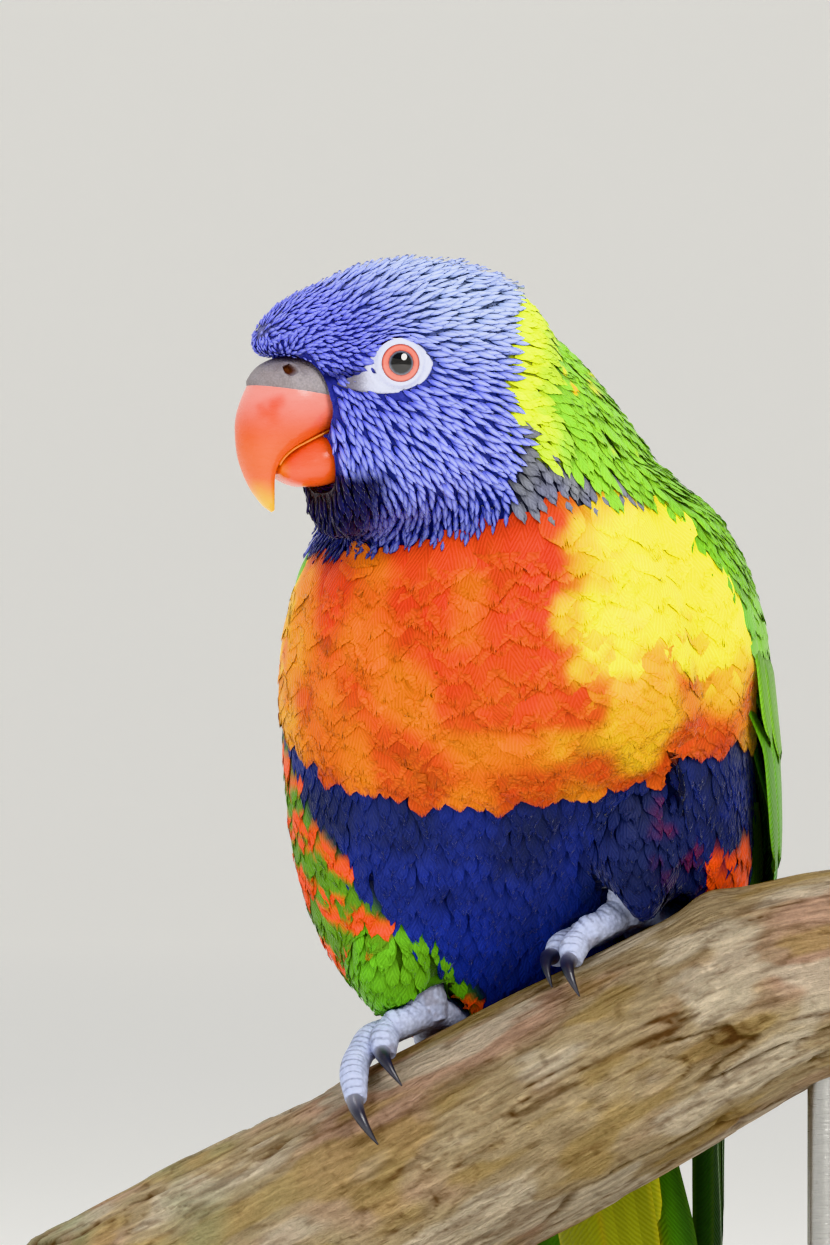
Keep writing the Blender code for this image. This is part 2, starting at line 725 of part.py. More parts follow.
def wing_tiers():
    """The tiers of the folded wing: root, tip, half width, height of root and of vane, tilt, outline."""
    tiers = []
    for i in range(PRIMARIES):
        share = i / (PRIMARIES - 1)
        root = (PRIMARY_ROOT[0], math.radians(between(*PRIMARY_ROOT[1:], share)))
        tip = (between(*PRIMARY_TIPS[:2], share), math.radians(between(*PRIMARY_TIPS[2:], share)))
        root_lift, lift = 0.0009 + 0.0002 * i, 0.0008 + 0.00075 * i
        tiers.append((root, tip, 0.0050, root_lift, lift, 0.0001, POINTED_VANE))
    for i in range(SECONDARIES):
        share = i / (SECONDARIES - 1)
        root = (SECONDARY_ROOT[0], math.radians(between(*SECONDARY_ROOT[1:], share)))
        tip = (between(*SECONDARY_TIPS[:2], share), math.radians(between(*SECONDARY_TIPS[2:], share)))
        tiers.append((root, tip, 0.0056, 0.0014, 0.0047 - 0.0008 * share, 0.0007, BLUNT_VANE))
    for count, top, end, first, last, half, root_lift, lift in COVERT_TIERS:
        for i in range(count):
            share = i / (count - 1)
            degrees = between(first, last, share)
            root = (top, math.radians(degrees))
            tip = (end - 0.003 * math.sin(math.pi * share), math.radians(degrees + 4))
            tiers.append((root, tip, half, root_lift, lift, COVERT_TILT, BLUNT_VANE))
    return tiers


def wing_core(side, collection):
    """The flesh of the folded wing, a pad that thins towards the rump and holds every root."""
    top, end = WING_CORE_HEIGHTS
    count = 9
    levels = 9
    rings = []
    for k in range(levels):
        share = k / (levels - 1)
        z = top + (end - top) * share
        first = math.radians(82 + 14 * share)
        last = math.radians(142 + 28 * math.sin(math.pi * min(1.0, 0.75 * share + 0.1)))
        if k == 0:
            first, last = math.radians(92), math.radians(126)
        thick = WING_CORE_TOP + (WING_CORE_END - WING_CORE_TOP) * share
        if k == 0:
            thick *= 0.45
        ring = []
        for i in range(count):
            s = i / (count - 1)
            bulge = math.sin(math.pi * s) ** 0.45
            ring.append(mantle(z, first + (last - first) * s, 0.0006 + thick * bulge))
        for i in range(count - 2, 0, -1):
            s = i / (count - 1)
            ring.append(mantle(z, first + (last - first) * s, WING_CORE_FLOOR))
        rings.append([(p.x, side * p.y, p.z) for p in ring])
    return loft("core", rings, collection, poles=False)


def wing(side, word, rooms, parts, bird, scratch):
    core = wing_core(side, parts)
    feathers = [wing_vane(side, *tier, scratch) for tier in wing_tiers()]
    combine(core, feathers, "UNION")
    for room in rooms:
        combine(core, [room], "DIFFERENCE", "MANIFOLD")
    keep_largest(core)
    return finish_node(core, "wing_" + word, "wing_plumage", bird)


def tail_frame():
    """Tail: +X runs to the tip, +Y to the bird's right, +Z out of its upper face."""
    out = Vector((-math.cos(TAIL_DIRECTION), 0, -math.sin(TAIL_DIRECTION)))
    right = Vector((0, -1, 0))
    turn = Matrix((out, right, out.cross(right))).transposed().to_4x4()
    return Matrix.Translation(TAIL_ROOT) @ turn


def tail_vane(side, rank, collection):
    """One of six pairs, the middle pair longest and uppermost."""
    length = TAIL_LENGTHS[rank]
    shift = 0.0012 + 0.0013 * rank
    spread = math.radians(0.4 + 0.40 * rank)
    level = TAIL_STEP / 2 if side > 0 and rank == 0 else -TAIL_STEP * (rank + 0.5)
    inner = TAIL_FEATHER_HALF if rank == 0 else min(TAIL_FEATHER_HALF, shift - GAP)

    def surface(t, width):
        x = TAIL_FEATHERS_FROM + (length - TAIL_FEATHERS_FROM) * t
        reach = shift + math.sin(spread) * x
        if width < 0:
            width *= (inner + math.sin(spread) * x) / TAIL_FEATHER_HALF if rank else 1.0
            width = max(width, -TAIL_FEATHER_HALF)
        y = reach + width
        arch = 0.0022 - 9.0 * y * y
        return Vector((x, side * y, level + arch))

    widths = [TAIL_FEATHER_HALF * share for share in (0.66, 1.0, 0.82, 0.12)]
    return vane("rectrix", surface, (0.0, 0.50, 0.84, 1.0), widths, collection)


def tail_covert(upper, place, reach, collection):
    """A covert over the root of the tail, on its upper or its under face."""
    sign = 1 if upper else -1
    first = 0.022

    def surface(t, width):
        x = first + (reach - abs(place) * 1.1 - first) * t
        y = place * (1 - 0.15 * t) + width
        out = 0.0046 - 0.0008 * t if upper else 0.0088 - 0.0012 * t
        return Vector((x, y, sign * (out - 16.0 * y * y)))

    widths = [0.0042 * share for share in BLUNT_VANE]
    return vane("covert", surface, VANE_STATIONS, widths, collection)


def tail(core, parts, scratch, bird, rooms):
    """The tail: the body's form tapers into its root, which twelve vanes and their coverts leave."""
    feathers = [tail_vane(side, rank, scratch) for rank in range(len(TAIL_LENGTHS)) for side in (-1, 1)]
    feathers += [tail_covert(True, place, 0.052, scratch) for place in (-0.0062, 0.0, 0.0062)]
    feathers += [tail_covert(False, place, 0.064, scratch) for place in (-0.0048, 0.0048)]
    for feather in feathers:
        feather.data.transform(tail_frame())
    combine(core, feathers, "UNION")
    for room in rooms:
        combine(core, [room], "DIFFERENCE")
    keep_largest(core)
    return finish_node(core, "tail", "tail_plumage", bird)


def bent_tube(name, points, radii, collection, resolution=1):
    """A tapering tube through points, as a curve with filled caps made a mesh."""
    curve = bpy.data.curves.new(name, "CURVE")
    curve.dimensions = "3D"
    curve.bevel_depth = 1.0
    curve.bevel_resolution = resolution
    curve.use_fill_caps = True
    line = curve.splines.new("POLY")
    line.points.add(len(points) - 1)
    for spot, place, radius in zip(line.points, points, radii):
        spot.co = (*place, 1.0)
        spot.radius = radius
    return curve_to_mesh(new_object(name, curve, collection), collection)


def through(points, steps):
    """Points on a smooth line through a few given ones."""
    rows = [(i, *p) for i, p in enumerate(points)]
    return [smooth_table(rows, (len(points) - 1) * k / (steps - 1)) for k in range(steps)]


def toe_tube(word, toe, spare, collection, knuckles):
    """A toe lies over the perch from the foot to its claw, with its joints a little swollen."""
    along = FEET[word][0]
    start = (along, -2.0, 0.0008)
    line = through((start, *toe[1:4]), len(knuckles))
    points = []
    for k, (at, degrees, lift) in enumerate(line):
        rest = GAP + TOE_RADIUS * knuckles[k]
        points.append(on_perch(at, math.radians(degrees), rest + lift))
    return bent_tube("toe", points, [TOE_RADIUS * k + spare for k in knuckles], collection)


def claw_tube(toe, spare, name, collection):
    """A claw goes on from its toe, arches and hooks down to the bark."""
    end, tip = toe[3], toe[4]
    steps = 5
    points = []
    radii = []
    for k in range(steps):
        t = k / (steps - 1)
        start = end[1] + math.copysign(1.5, tip[1] - end[1])
        lift = GAP + TOE_RADIUS * 0.85 * (1 - t**2.2) + 0.0010 * math.sin(math.pi * t) + 0.0004
        degrees = start + (tip[1] - start) * t
        points.append(on_perch(end[0] + (tip[0] - end[0]) * t, math.radians(degrees), lift))
        radii.append(CLAW_RADIUS * (1 - t**1.5) + 0.00018 + spare)
    return bent_tube(name, points, radii, collection)


def shank_tube(word, spare, name, collection):
    along = FEET[word][0]
    heel = on_perch(along, math.radians(-3.0), TOE_RADIUS * 1.5)
    thigh = Vector(FEET[word][1])
    top = Vector((heel.x * 0.6 + thigh.x * 0.4, heel.y * 0.6 + thigh.y * 0.4, heel.z + SHANK_RISE))
    points = [heel.lerp(top, t) for t in (-0.10, 0.15, 0.55, 1.0)]
    return bent_tube(name, points, [SHANK_RADIUS * k + spare for k in (0.95, 1.12, 0.98, 1.0)], collection)


def leg_room(word, collection):
    """What the body parts round a leg leave free: shank, toes and claws, each a little thicker."""
    room = [shank_tube(word, GAP, "room", collection)]
    for toe in FEET[word][2]:
        room.append(toe_tube(word, toe, GAP, collection, TOE_KNUCKLES))
        room.append(claw_tube(toe, GAP, "room", collection))
    return room


def foot(word, parts, scratch, bird):
    """Shank and four toes as one piece, two toes forward and two back, with separate claws."""
    toes = FEET[word][2]
    shank = shank_tube(word, 0.0, "foot", parts)
    combine(shank, [toe_tube(word, toe, 0.0, scratch, TOE_KNUCKLES) for toe in toes], "UNION")
    combine(shank, [claw_tube(toe, GAP, "room", scratch) for toe in toes], "DIFFERENCE")
    keep_largest(shank)
    finish_node(shank, "foot_" + word, "foot_skin", bird)
    for toe in toes:
        claw = claw_tube(toe, 0.0, "claw", parts)
        finish_node(claw, "claw_" + word + "_" + toe[0], "claw_horn", bird)


def thigh_form(word, spare, collection):
    """The feathered upper leg: an egg that narrows to the shank."""
    shape = bmesh.new()
    bmesh.ops.create_uvsphere(shape, u_segments=14, v_segments=8, radius=1.0)
    centre = Vector(FEET[word][1])
    sizes = [s + spare for s in THIGH_SIZE]
    for vert in shape.verts:
        narrow = 1 - 0.42 * smoothstep(0.1, 1.0, -vert.co.z)
        vert.co.x *= sizes[0] * narrow
        vert.co.y *= sizes[1] * narrow
        vert.co.z *= sizes[2]
        vert.co += centre
    mesh = bpy.data.meshes.new("thigh")
    shape.to_mesh(mesh)
    shape.free()
    return new_object("thigh", mesh, collection)


def bird_matrix():
    """Where the bird and its perch stand over the base."""
    return Matrix.Translation((0, BIRD_BACK_FROM_ORIGIN, PERCH_TOP)) @ Matrix.Rotation(
        BIRD_YAW - math.pi / 2, 4, "Z"
    )


def upright(name, corners, radius, x, y, low, high, collection):
    place = Matrix.Translation((x, y, (low + high) / 2))
    return cylinder(name, corners, radius, high - low, place, collection)


def perch_and_stand(parts, bird, scratch):
    """The cut branch, and the base with the two rods that end inside the branch."""
    perch = perch_form("perch", 0.0, parts)
    place = bird_matrix()
    direction, up, _ = perch_axes()
    base = upright("stand_base", 48, BASE_RADIUS, 0.0, 0.0, 0.0, BASE_THICKNESS, parts)
    edge = base.modifiers.new("edge", "BEVEL")
    edge.width = BASE_EDGE
    edge.segments = 1
    edge.limit_method = "ANGLE"
    apply_modifiers(base)
    for along, word in zip(ROD_ALONG, ("low", "high")):
        middle = place @ (direction * along - up * PERCH_RADIUS)
        under = middle.z - PERCH_RADIUS / math.cos(PERCH_RISE)
        spot = (middle.x, middle.y)
        low, high = BASE_THICKNESS * 0.4, under + ROD_SUNK
        rod = upright("stand_rod_" + word, 16, ROD_RADIUS, *spot, low, high, parts)
        hole = upright("hole", 16, ROD_RADIUS + GAP, *spot, low - GAP, high + GAP, scratch)
        perch_hole = copy_of(hole, "perch_hole", scratch)
        perch_hole.data.transform(place.inverted())
        combine(perch, [perch_hole], "DIFFERENCE")
        combine(base, [hole], "DIFFERENCE")
        finish_node(rod, rod.name, "rod_steel")
    finish_node(base, base.name, "base_wood")
    finish_node(perch, perch.name, "bark", bird)


def build():
    clear_scene()
    parts = new_collection("rainbow_lorikeet")
    scratch = new_collection("scratch")
    bird = bpy.data.objects.new("bird_place", None)
    parts.objects.link(bird)

    whole = whole_body(scratch)
    point, direction = (Vector(v) for v in NECK_FROM_TORSO)
    direction.normalize()
    body = half_of(whole, "body", point - direction * GAP / 2, -direction, scratch)
    above = half_of(whole, "above", point + direction * GAP / 2, direction, scratch)
    frame = head_frame()
    point = frame @ Vector(HEAD_FROM_NECK[0])
    direction = (frame.to_3x3() @ Vector(HEAD_FROM_NECK[1])).normalized()
    head = half_of(above, "head", point + direction * GAP / 2, direction, parts)
    neck = half_of(above, "neck", point - direction * GAP / 2, -direction, parts)
    point = tail_frame() @ Vector((TAIL_FROM_TORSO, 0, 0))
    direction = tail_frame().to_3x3() @ Vector((1, 0, 0))
    trunk = half_of(body, "trunk", point - direction * GAP / 2, -direction, scratch)
    rump = half_of(body, "rump", point + direction * GAP / 2, direction, parts)
    point, direction = (Vector(v) for v in BACK_FROM_TORSO)
    direction.normalize()
    torso = half_of(trunk, "torso", point - direction * GAP / 2, -direction, parts)
    back = half_of(trunk, "back", point + direction * GAP / 2, direction, parts)

    head_parts(head, bill_parts(parts, scratch, bird), parts, scratch, bird)
    keep_largest(neck)
    finish_node(neck, "neck", "neck_plumage", bird)

    wide = grown(whole, GAP, scratch)
    thighs = []
    for word in FEET:
        foot(word, parts, scratch, bird)
        combine(torso, [thigh_form(word, GAP, scratch)], "DIFFERENCE")
        combine(torso, leg_room(word, scratch), "DIFFERENCE")
        combine(back, leg_room(word, scratch), "DIFFERENCE")
        thigh = thigh_form(word, 0.0, parts)
        combine(thigh, leg_room(word, scratch), "DIFFERENCE")
        combine(thigh, [perch_form("perch_room", FEATHERS_OVER_PERCH, scratch)], "DIFFERENCE")
        keep_largest(thigh)
        thighs.append(finish_node(thigh, "thigh_" + word, "thigh_plumage", bird))
    for node, slot in ((torso, "breast_plumage"), (back, "back_plumage")):
        combine(node, [perch_form("perch_room", FEATHERS_OVER_PERCH, scratch)], "DIFFERENCE")
        keep_largest(node)
        finish_node(node, node.name, slot, bird)

    for side, word in ((1, "left"), (-1, "right")):
        rooms = [copy_of(wide, "room", scratch), thigh_form(word, GAP, scratch)]
        rooms.append(perch_form("room", FEATHERS_OVER_PERCH, scratch))
        wing(side, word, rooms + leg_room(word, scratch), parts, bird, scratch)
    tail(rump, parts, scratch, bird, [perch_form("room", FEATHERS_OVER_PERCH, scratch)])

    perch_and_stand(parts, bird, scratch)
    bird.matrix_world = bird_matrix()
    for obj in list(scratch.objects):
        bpy.data.objects.remove(obj)
    bpy.data.collections.remove(scratch)


build()
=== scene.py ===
"""Looks of a life-size still rainbow lorikeet that grips a cut branch on a plain stand.

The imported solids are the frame. One skin takes the place of the flesh, feathers are laid on it in
rows along the lie of the coat, and horn, scales, bark, wood and steel are modelled over their solids.
"""

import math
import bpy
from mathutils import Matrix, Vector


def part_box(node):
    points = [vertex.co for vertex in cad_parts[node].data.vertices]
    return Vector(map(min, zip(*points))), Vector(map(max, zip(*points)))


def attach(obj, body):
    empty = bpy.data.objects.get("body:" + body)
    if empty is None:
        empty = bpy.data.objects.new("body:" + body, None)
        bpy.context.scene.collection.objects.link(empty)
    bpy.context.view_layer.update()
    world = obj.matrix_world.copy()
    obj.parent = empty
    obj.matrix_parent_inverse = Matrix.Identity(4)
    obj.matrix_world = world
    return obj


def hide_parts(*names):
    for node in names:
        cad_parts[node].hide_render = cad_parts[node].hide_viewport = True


bl_info = {
    "name": "Rainbow lorikeet on a branch",
    "version": (1, 0, 0),
    "blender": (4, 5, 0),
    "location": "3D View > Sidebar > Lorikeet",
    "description": "Dresses the packed solids of a still lorikeet with feathers, horn, bark and wood",
    "category": "Object",
}

from itertools import product

import bmesh
import bpy
import numpy as np
from bpy.props import FloatProperty, FloatVectorProperty, IntProperty, PointerProperty
from mathutils import Matrix, Vector
from mathutils.bvhtree import BVHTree
from mathutils.kdtree import KDTree

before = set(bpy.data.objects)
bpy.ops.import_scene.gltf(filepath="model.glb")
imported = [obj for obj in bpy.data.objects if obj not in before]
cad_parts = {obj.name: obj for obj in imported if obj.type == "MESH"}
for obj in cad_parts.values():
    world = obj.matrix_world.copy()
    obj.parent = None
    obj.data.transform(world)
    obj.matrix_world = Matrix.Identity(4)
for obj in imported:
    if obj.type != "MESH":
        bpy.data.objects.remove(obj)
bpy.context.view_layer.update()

MM = 0.001

# Places, as the solids have them
PERCH_TOP = 0.1330
BIRD = Matrix.Translation((0, -0.004, PERCH_TOP)) @ Matrix.Rotation(math.radians(-115.0), 4, "Z")
HEAD = BIRD @ Matrix.Translation((0.0262, -0.0062, 0.0990)) @ Matrix.Rotation(math.radians(-43.0), 4, "Z")
EYE_PLACE = (0.0088, 0.0121, 0.0008)
EYE_RADIUS = 0.0047
EYE_TURN = math.radians(15.0)

# Photo's camera: 6.2 pixels of the 830 x 1245 frame to a millimetre at the bird
CAMERA_DISTANCE = 1.9
CAMERA_AIM = (-0.0176, 0.0, PERCH_TOP + 0.0589)
FRAME_HEIGHT = 0.2008
SENSOR = 36.0

# Flesh under the tail coverts, in the bird's frame: height, middle x, half depth, half width
RUMP = (
    (-0.0600, -0.0475, 0.0012, 0.0035),
    (-0.0450, -0.0415, 0.0040, 0.0080),
    (-0.0320, -0.0366, 0.0058, 0.0105),
    (-0.0200, -0.0323, 0.0078, 0.0128),
    (-0.0100, -0.0285, 0.0105, 0.0170),
    (0.0000, -0.0240, 0.0140, 0.0215),
)
# Sheet that the folded wings lie on, in millimetres: height, middle x, reach back, half width
MANTLE = (
    (-70.0, -50.5, 8.5, 14.2),
    (-40.0, -40.0, 10.0, 15.8),
    (-20.0, -32.5, 11.8, 18.0),
    (13.0, -14.8, 24.8, 29.4),
    (20.0, -10.8, 28.8, 31.6),
    (30.0, -5.65, 33.15, 33.4),
    (40.0, -2.0, 35.2, 34.0),
    (50.0, 0.55, 35.05, 34.0),
    (60.0, 2.45, 32.75, 33.2),
    (68.0, 3.4, 30.0, 31.6),
    (75.0, 4.3, 27.1, 29.2),
    (82.0, 5.65, 24.65, 26.8),
    (90.0, 8.05, 22.45, 24.2),
)
THIGHS = {"left": (-0.0010, 0.0205, 0.0250), "right": (0.0045, -0.0205, 0.0070)}
THIGH_SIZE = (0.0125, 0.0100, 0.0150)

# Bill, in the head's frame: x and z of the ridge and of the cutting edge, and the half width
UPPER_BILL = (
    (0.0165, 0.0030, 0.0120, -0.0072, 0.0072),
    (0.0225, 0.0024, 0.0152, -0.0088, 0.0080),
    (0.0268, 0.0006, 0.0182, -0.0102, 0.0080),
    (0.0298, -0.0040, 0.0210, -0.0116, 0.0073),
    (0.0311, -0.0090, 0.0234, -0.0130, 0.0063),
    (0.0307, -0.0140, 0.0250, -0.0148, 0.0050),
    (0.0291, -0.0184, 0.0256, -0.0172, 0.0035),
    (0.0271, -0.0213, 0.0254, -0.0200, 0.0021),
    (0.0256, -0.0226, 0.0251, -0.0222, 0.0006),
)
LOWER_BILL = (
    (0.0120, -0.0075, 0.0120, -0.0168, 0.0056),
    (0.0172, -0.0089, 0.0172, -0.0184, 0.0062),
    (0.0206, -0.0109, 0.0206, -0.0186, 0.0056),
    (0.0232, -0.0131, 0.0234, -0.0178, 0.0043),
    (0.0247, -0.0148, 0.0250, -0.0166, 0.0028),
)
CERE_EDGE = ((0.0197, 0.0, -0.0040), (-0.150, 0.0, 0.989))
NOSTRIL = (0.0246, 0.0062, -0.0002)

# Outline of the bare skin round the eye: millimetres forward of and above the eye's middle
BARE_SKIN = (
    (9.6, -3.0), (6.5, -1.5), (4.3, 1.3), (2.1, 3.3), (-0.6, 4.0), (-3.2, 2.9), (-4.9, 0.9),
    (-5.3, -0.4), (-3.9, -2.8), (-1.1, -4.3), (2.1, -4.8), (5.3, -4.6), (8.3, -3.9),
)

# Perch, and how the feet grip it
PERCH_RADIUS = 0.0185
PERCH_LENGTHS = (-0.092, 0.078)
PERCH_RISE = math.radians(27.9)
PERCH_TURN = math.radians(10.0)
PERCH_BEND_FROM = 0.028
PERCH_BEND_TO = 0.056
PERCH_BEND = 6.0
KNOT = (0.0345, 0.15)
KNOT_HEIGHT = 0.0014
GAP = 0.0003
TOE_RADIUS = 0.0024
SHANK_RADIUS = 0.0032
SHANK_RISE = 0.0125
CLAW_RADIUS = 0.00125
# Size of the cells that fuse a foot, and length of one plate on a toe
FOOT_CELL = 0.00024
PLATE_LENGTH = 0.00125
# Shares of TOE_RADIUS along a toe
TOE_KNUCKLES = (1.10, 1.12, 0.98, 1.08, 0.94, 0.98, 0.74)
# Toes: name, three points on the bark and the claw's tip, as distance along, degrees round and height
LEFT_TOES = (
    ("inner_front", (0.0150, -7.0, 0.0008), (0.0104, -4.0, 0.0011), (0.0075, 10.0, 0.0), (0.0068, 35.0)),
    ("outer_front", (0.0170, 9.0, 0.0010), (0.0134, 15.0, 0.0008), (0.0112, 28.0, 0.0), (0.0110, 51.0)),
    ("inner_back", (0.0190, -24.0, 0.0006), (0.0178, -40.0, 0.0006), (0.0172, -54.0, 0.0), (0.0176, -78.0)),
    ("outer_back", (0.0235, -22.0, 0.0006), (0.0253, -42.0, 0.0006), (0.0262, -60.0, 0.0), (0.0262, -84.0)),
)
RIGHT_TOES = (
    ("inner_front", (-0.0190, 9.0, 0.0012), (-0.0218, 14.0, 0.0014), (-0.0232, 27.0, 0.0), (-0.0216, 50.0)),
    ("outer_front", (-0.0228, 4.0, 0.0010), (-0.0272, 22.0, 0.0008), (-0.0292, 49.0, 0.0), (-0.0285, 73.0)),
    ("inner_back", (-0.0145, -22.0, 0.0006), (-0.013, -38.0, 0.0006), (-0.0125, -52.0, 0.0), (-0.0125, -76)),
    ("outer_back", (-0.0195, -20.0, 0.0006), (-0.0215, -40.0, 0.0006), (-0.0222, -58.0, 0.0), (-0.022, -82)),
)
FEET = {"left": (0.0205, LEFT_TOES), "right": (-0.0165, RIGHT_TOES)}

# Tail, in the bird's frame
TAIL_ROOT = (-0.0262, 0.0, -0.0030)
TAIL_DIRECTION = math.radians(70.0)
TAIL_LENGTHS = (0.118, 0.113, 0.104, 0.094, 0.083, 0.071)

# Stand
BASE_RADIUS = 0.074
BASE_THICKNESS = 0.014

# Round stage: radius and height of its wall, and radius of the bend between floor and wall
STAGE_RADIUS = 6.4
STAGE_HEIGHT = 3.2
STAGE_BEND = 1.2

# Most triangles of one piece of the coat
COAT_LIMIT = 190000


def srgb(red, green, blue):
    """A colour given as 0 to 255 on a screen, in the linear values that a shader takes."""
    parts = np.array((red, green, blue)) / 255
    return np.where(parts <= 0.04045, parts / 12.92, ((parts + 0.055) / 1.055) ** 2.4)


# Number work


def smooth(low, high, x):
    t = np.clip((np.asarray(x, float) - low) / (high - low), 0, 1)
    return t * t * (3 - 2 * t)


def mix(a, b, share):
    return a + (b - a) * share


def blended(a, b, share):
    """Colours or directions, each moved by its own share from a towards b."""
    a, b = np.asarray(a), np.asarray(b)
    return a + (b - a) * np.asarray(share, float)[..., None]


def numbered(rows):
    """Rows with their own number in front, as dense() takes them."""
    return [(i, *np.atleast_1d(row)) for i, row in enumerate(rows)]


def round_angles(count):
    return np.linspace(0, math.tau, count, endpoint=False)


def dense(rows, count=400):
    """A table of a few rows as many, by a cubic through its neighbours that doesn't overshoot."""
    table = np.array(rows, float)
    keys, values = table[:, 0], table[:, 1:]
    steps = np.diff(keys)
    slopes = np.diff(values, axis=0) / steps[:, None]
    tangents = np.vstack([slopes[:1], (slopes[1:] + slopes[:-1]) / 2, slopes[-1:]])
    tangents[1:-1][slopes[1:] * slopes[:-1] <= 0] = 0
    at = np.linspace(keys[0], keys[-1], count)
    i = np.clip(np.searchsorted(keys, at) - 1, 0, len(keys) - 2)
    t = ((at - keys[i]) / steps[i])[:, None]
    ta, tb = tangents[i] * steps[i][:, None], tangents[i + 1] * steps[i][:, None]
    leaving = (2 * t**3 - 3 * t**2 + 1) * values[i] + (t**3 - 2 * t**2 + t) * ta
    arriving = (3 * t**2 - 2 * t**3) * values[i + 1] + (t**3 - t**2) * tb
    return np.column_stack([at, leaving + arriving])


def look_up(table, at):
    """Columns of a dense table at some places along it."""
    return [np.interp(at, table[:, 0], table[:, k]) for k in range(1, table.shape[1])]


def moved(points, matrix):
    m = np.array(matrix)
    return points @ m[:3, :3].T + m[:3, 3]


def within(points, matrix):
    return moved(points, matrix.inverted())


def mm_on(place, points):
    """x, y and z of points of the world on the bird or on its head, in mm."""
    return (within(points, place) / MM).T


def turned(vectors, matrix):
    return vectors @ np.array(matrix)[:3, :3].T


def unit(vectors):
    return vectors / np.maximum(np.linalg.norm(vectors, axis=-1, keepdims=True), 1e-12)


def hashed(cells, seed):
    """A steady random number from 0 to 1 for each whole-numbered cell."""
    mixed = cells.astype(np.int64) @ np.array([73856093, 19349663, 83492791]) + seed * 2654435761
    mixed = (mixed ^ (mixed >> 13)) * 1274126177
    return ((mixed ^ (mixed >> 16)) & 0xFFFFFF) / 0xFFFFFF


def cloud(points, size, seed=0):
    """Smooth noise from 0 to 1 whose lumps are about size across."""
    at = points / np.asarray(size, float)
    low = np.floor(at)
    t = at - low
    t = t * t * (3 - 2 * t)
    total = np.zeros(len(points))
    for corner in product((0, 1), repeat=3):
        share = np.prod(np.where(np.array(corner) == 1, t, 1 - t), axis=1)
        total += share * hashed(low + np.array(corner), seed)
    return total


def clouds(points, size, octaves, seed=0):
    total, reach = 0.0, 0.0
    for k in range(octaves):
        total = total + cloud(points, np.asarray(size, float) / 2**k, seed + k) / 2**k
        reach += 1 / 2**k
    return total / reach


# Shader work


def math_node(operation, swapped=False):
    """A method of Wire that joins it and another value by one Math node."""

    def join(self, other):
        return self.maths(operation, *((other, self) if swapped else (self, other)))

    return join


class Wire:
    """A socket in a finish, on which Python's operators add Math nodes."""

    def __init__(self, finish, socket):
        self.finish = finish
        self.socket = socket

    def maths(self, operation, *values):
        return self.finish.node("ShaderNodeMath", {"operation": operation}, dict(enumerate(values)))

    __add__ = math_node("ADD")
    __radd__ = math_node("ADD", True)
    __sub__ = math_node("SUBTRACT")
    __rsub__ = math_node("SUBTRACT", True)
    __mul__ = math_node("MULTIPLY")
    __rmul__ = math_node("MULTIPLY", True)
    __truediv__ = math_node("DIVIDE")

    def sine(self):
        return self.maths("SINE", self)

    def size(self):
        return self.maths("ABSOLUTE", self)

    def between(self, low, high):
        """0 below low and 1 above high, smooth in between."""
        settings = {"interpolation_type": "SMOOTHSTEP"}
        return self.finish.node("ShaderNodeMapRange", settings, {0: self, 1: low, 2: high})


class Finish:
    """One material. Its nodes come from node(), and its shader's sockets are set by name."""

    def __init__(self, name, **sockets):
        self.material = bpy.data.materials.new(name)
        self.material.use_nodes = True
        self.tree = self.material.node_tree
        self.shader = self.tree.nodes["Principled BSDF"]
        for socket, value in sockets.items():
            self.set(socket.replace("_", " "), value)

    def node(self, kind, settings=None, sockets=None, output=0):
        made = self.tree.nodes.new(kind)
        for name, value in (settings or {}).items():
            if name == "stops":
                while len(made.color_ramp.elements) < len(value):
                    made.color_ramp.elements.new(0.5)
                for element, (place, colour) in zip(made.color_ramp.elements, value):
                    element.position = place
                    element.color = (*colour, 1.0)
            else:
                setattr(made, name, value)
        for name, value in (sockets or {}).items():
            self.feed(made.inputs[name], value)
        return Wire(self, made.outputs[output])

    def feed(self, socket, value):
        if isinstance(value, Wire):
            self.tree.links.new(value.socket, socket)
        elif socket.type == "RGBA" and len(value) == 3:
            socket.default_value = (*value, 1.0)
        else:
            socket.default_value = value

    def set(self, socket, value):
        self.feed(self.shader.inputs[socket], value)

    def place(self):
        return self.node("ShaderNodeTexCoord", output=3)

    def stored(self, name):
        return self.node("ShaderNodeAttribute", {"attribute_name": name})

    def chart(self, name):
        """Both coordinates of a map of the surface, as two values."""
        both = self.node("ShaderNodeUVMap", {"uv_map": name})
        parts = self.node("ShaderNodeSeparateXYZ", sockets={0: both})
        return parts, Wire(self, parts.socket.node.outputs[1])

    def noise(self, scale, detail=3.0, at=None, roughness=0.55):
        sockets = {"Vector": at or self.place(), "Scale": scale, "Detail": detail, "Roughness": roughness}
        return self.node("ShaderNodeTexNoise", sockets=sockets)

    def cells(self, scale):
        return self.node("ShaderNodeTexVoronoi", {"feature": "F1"}, {"Vector": self.place(), "Scale": scale})

    def stretched(self, vector, factors):
        return self.node("ShaderNodeVectorMath", {"operation": "MULTIPLY"}, {0: vector, 1: factors})

    def blend(self, factor, a, b):
        return self.node("ShaderNodeMix", {"data_type": "RGBA"}, {0: factor, 6: a, 7: b}, output=2)

    def brighter(self, colour, factor):
        return self.node("ShaderNodeVectorMath", {"operation": "SCALE"}, {0: colour, "Scale": factor})

    def ramp(self, factor, *stops):
        return self.node("ShaderNodeValToRGB", {"stops": stops}, {0: factor})

    def raise_by(self, height, depth):
        self.set("Normal", self.node("ShaderNodeBump", sockets={"Height": height, "Distance": depth}))


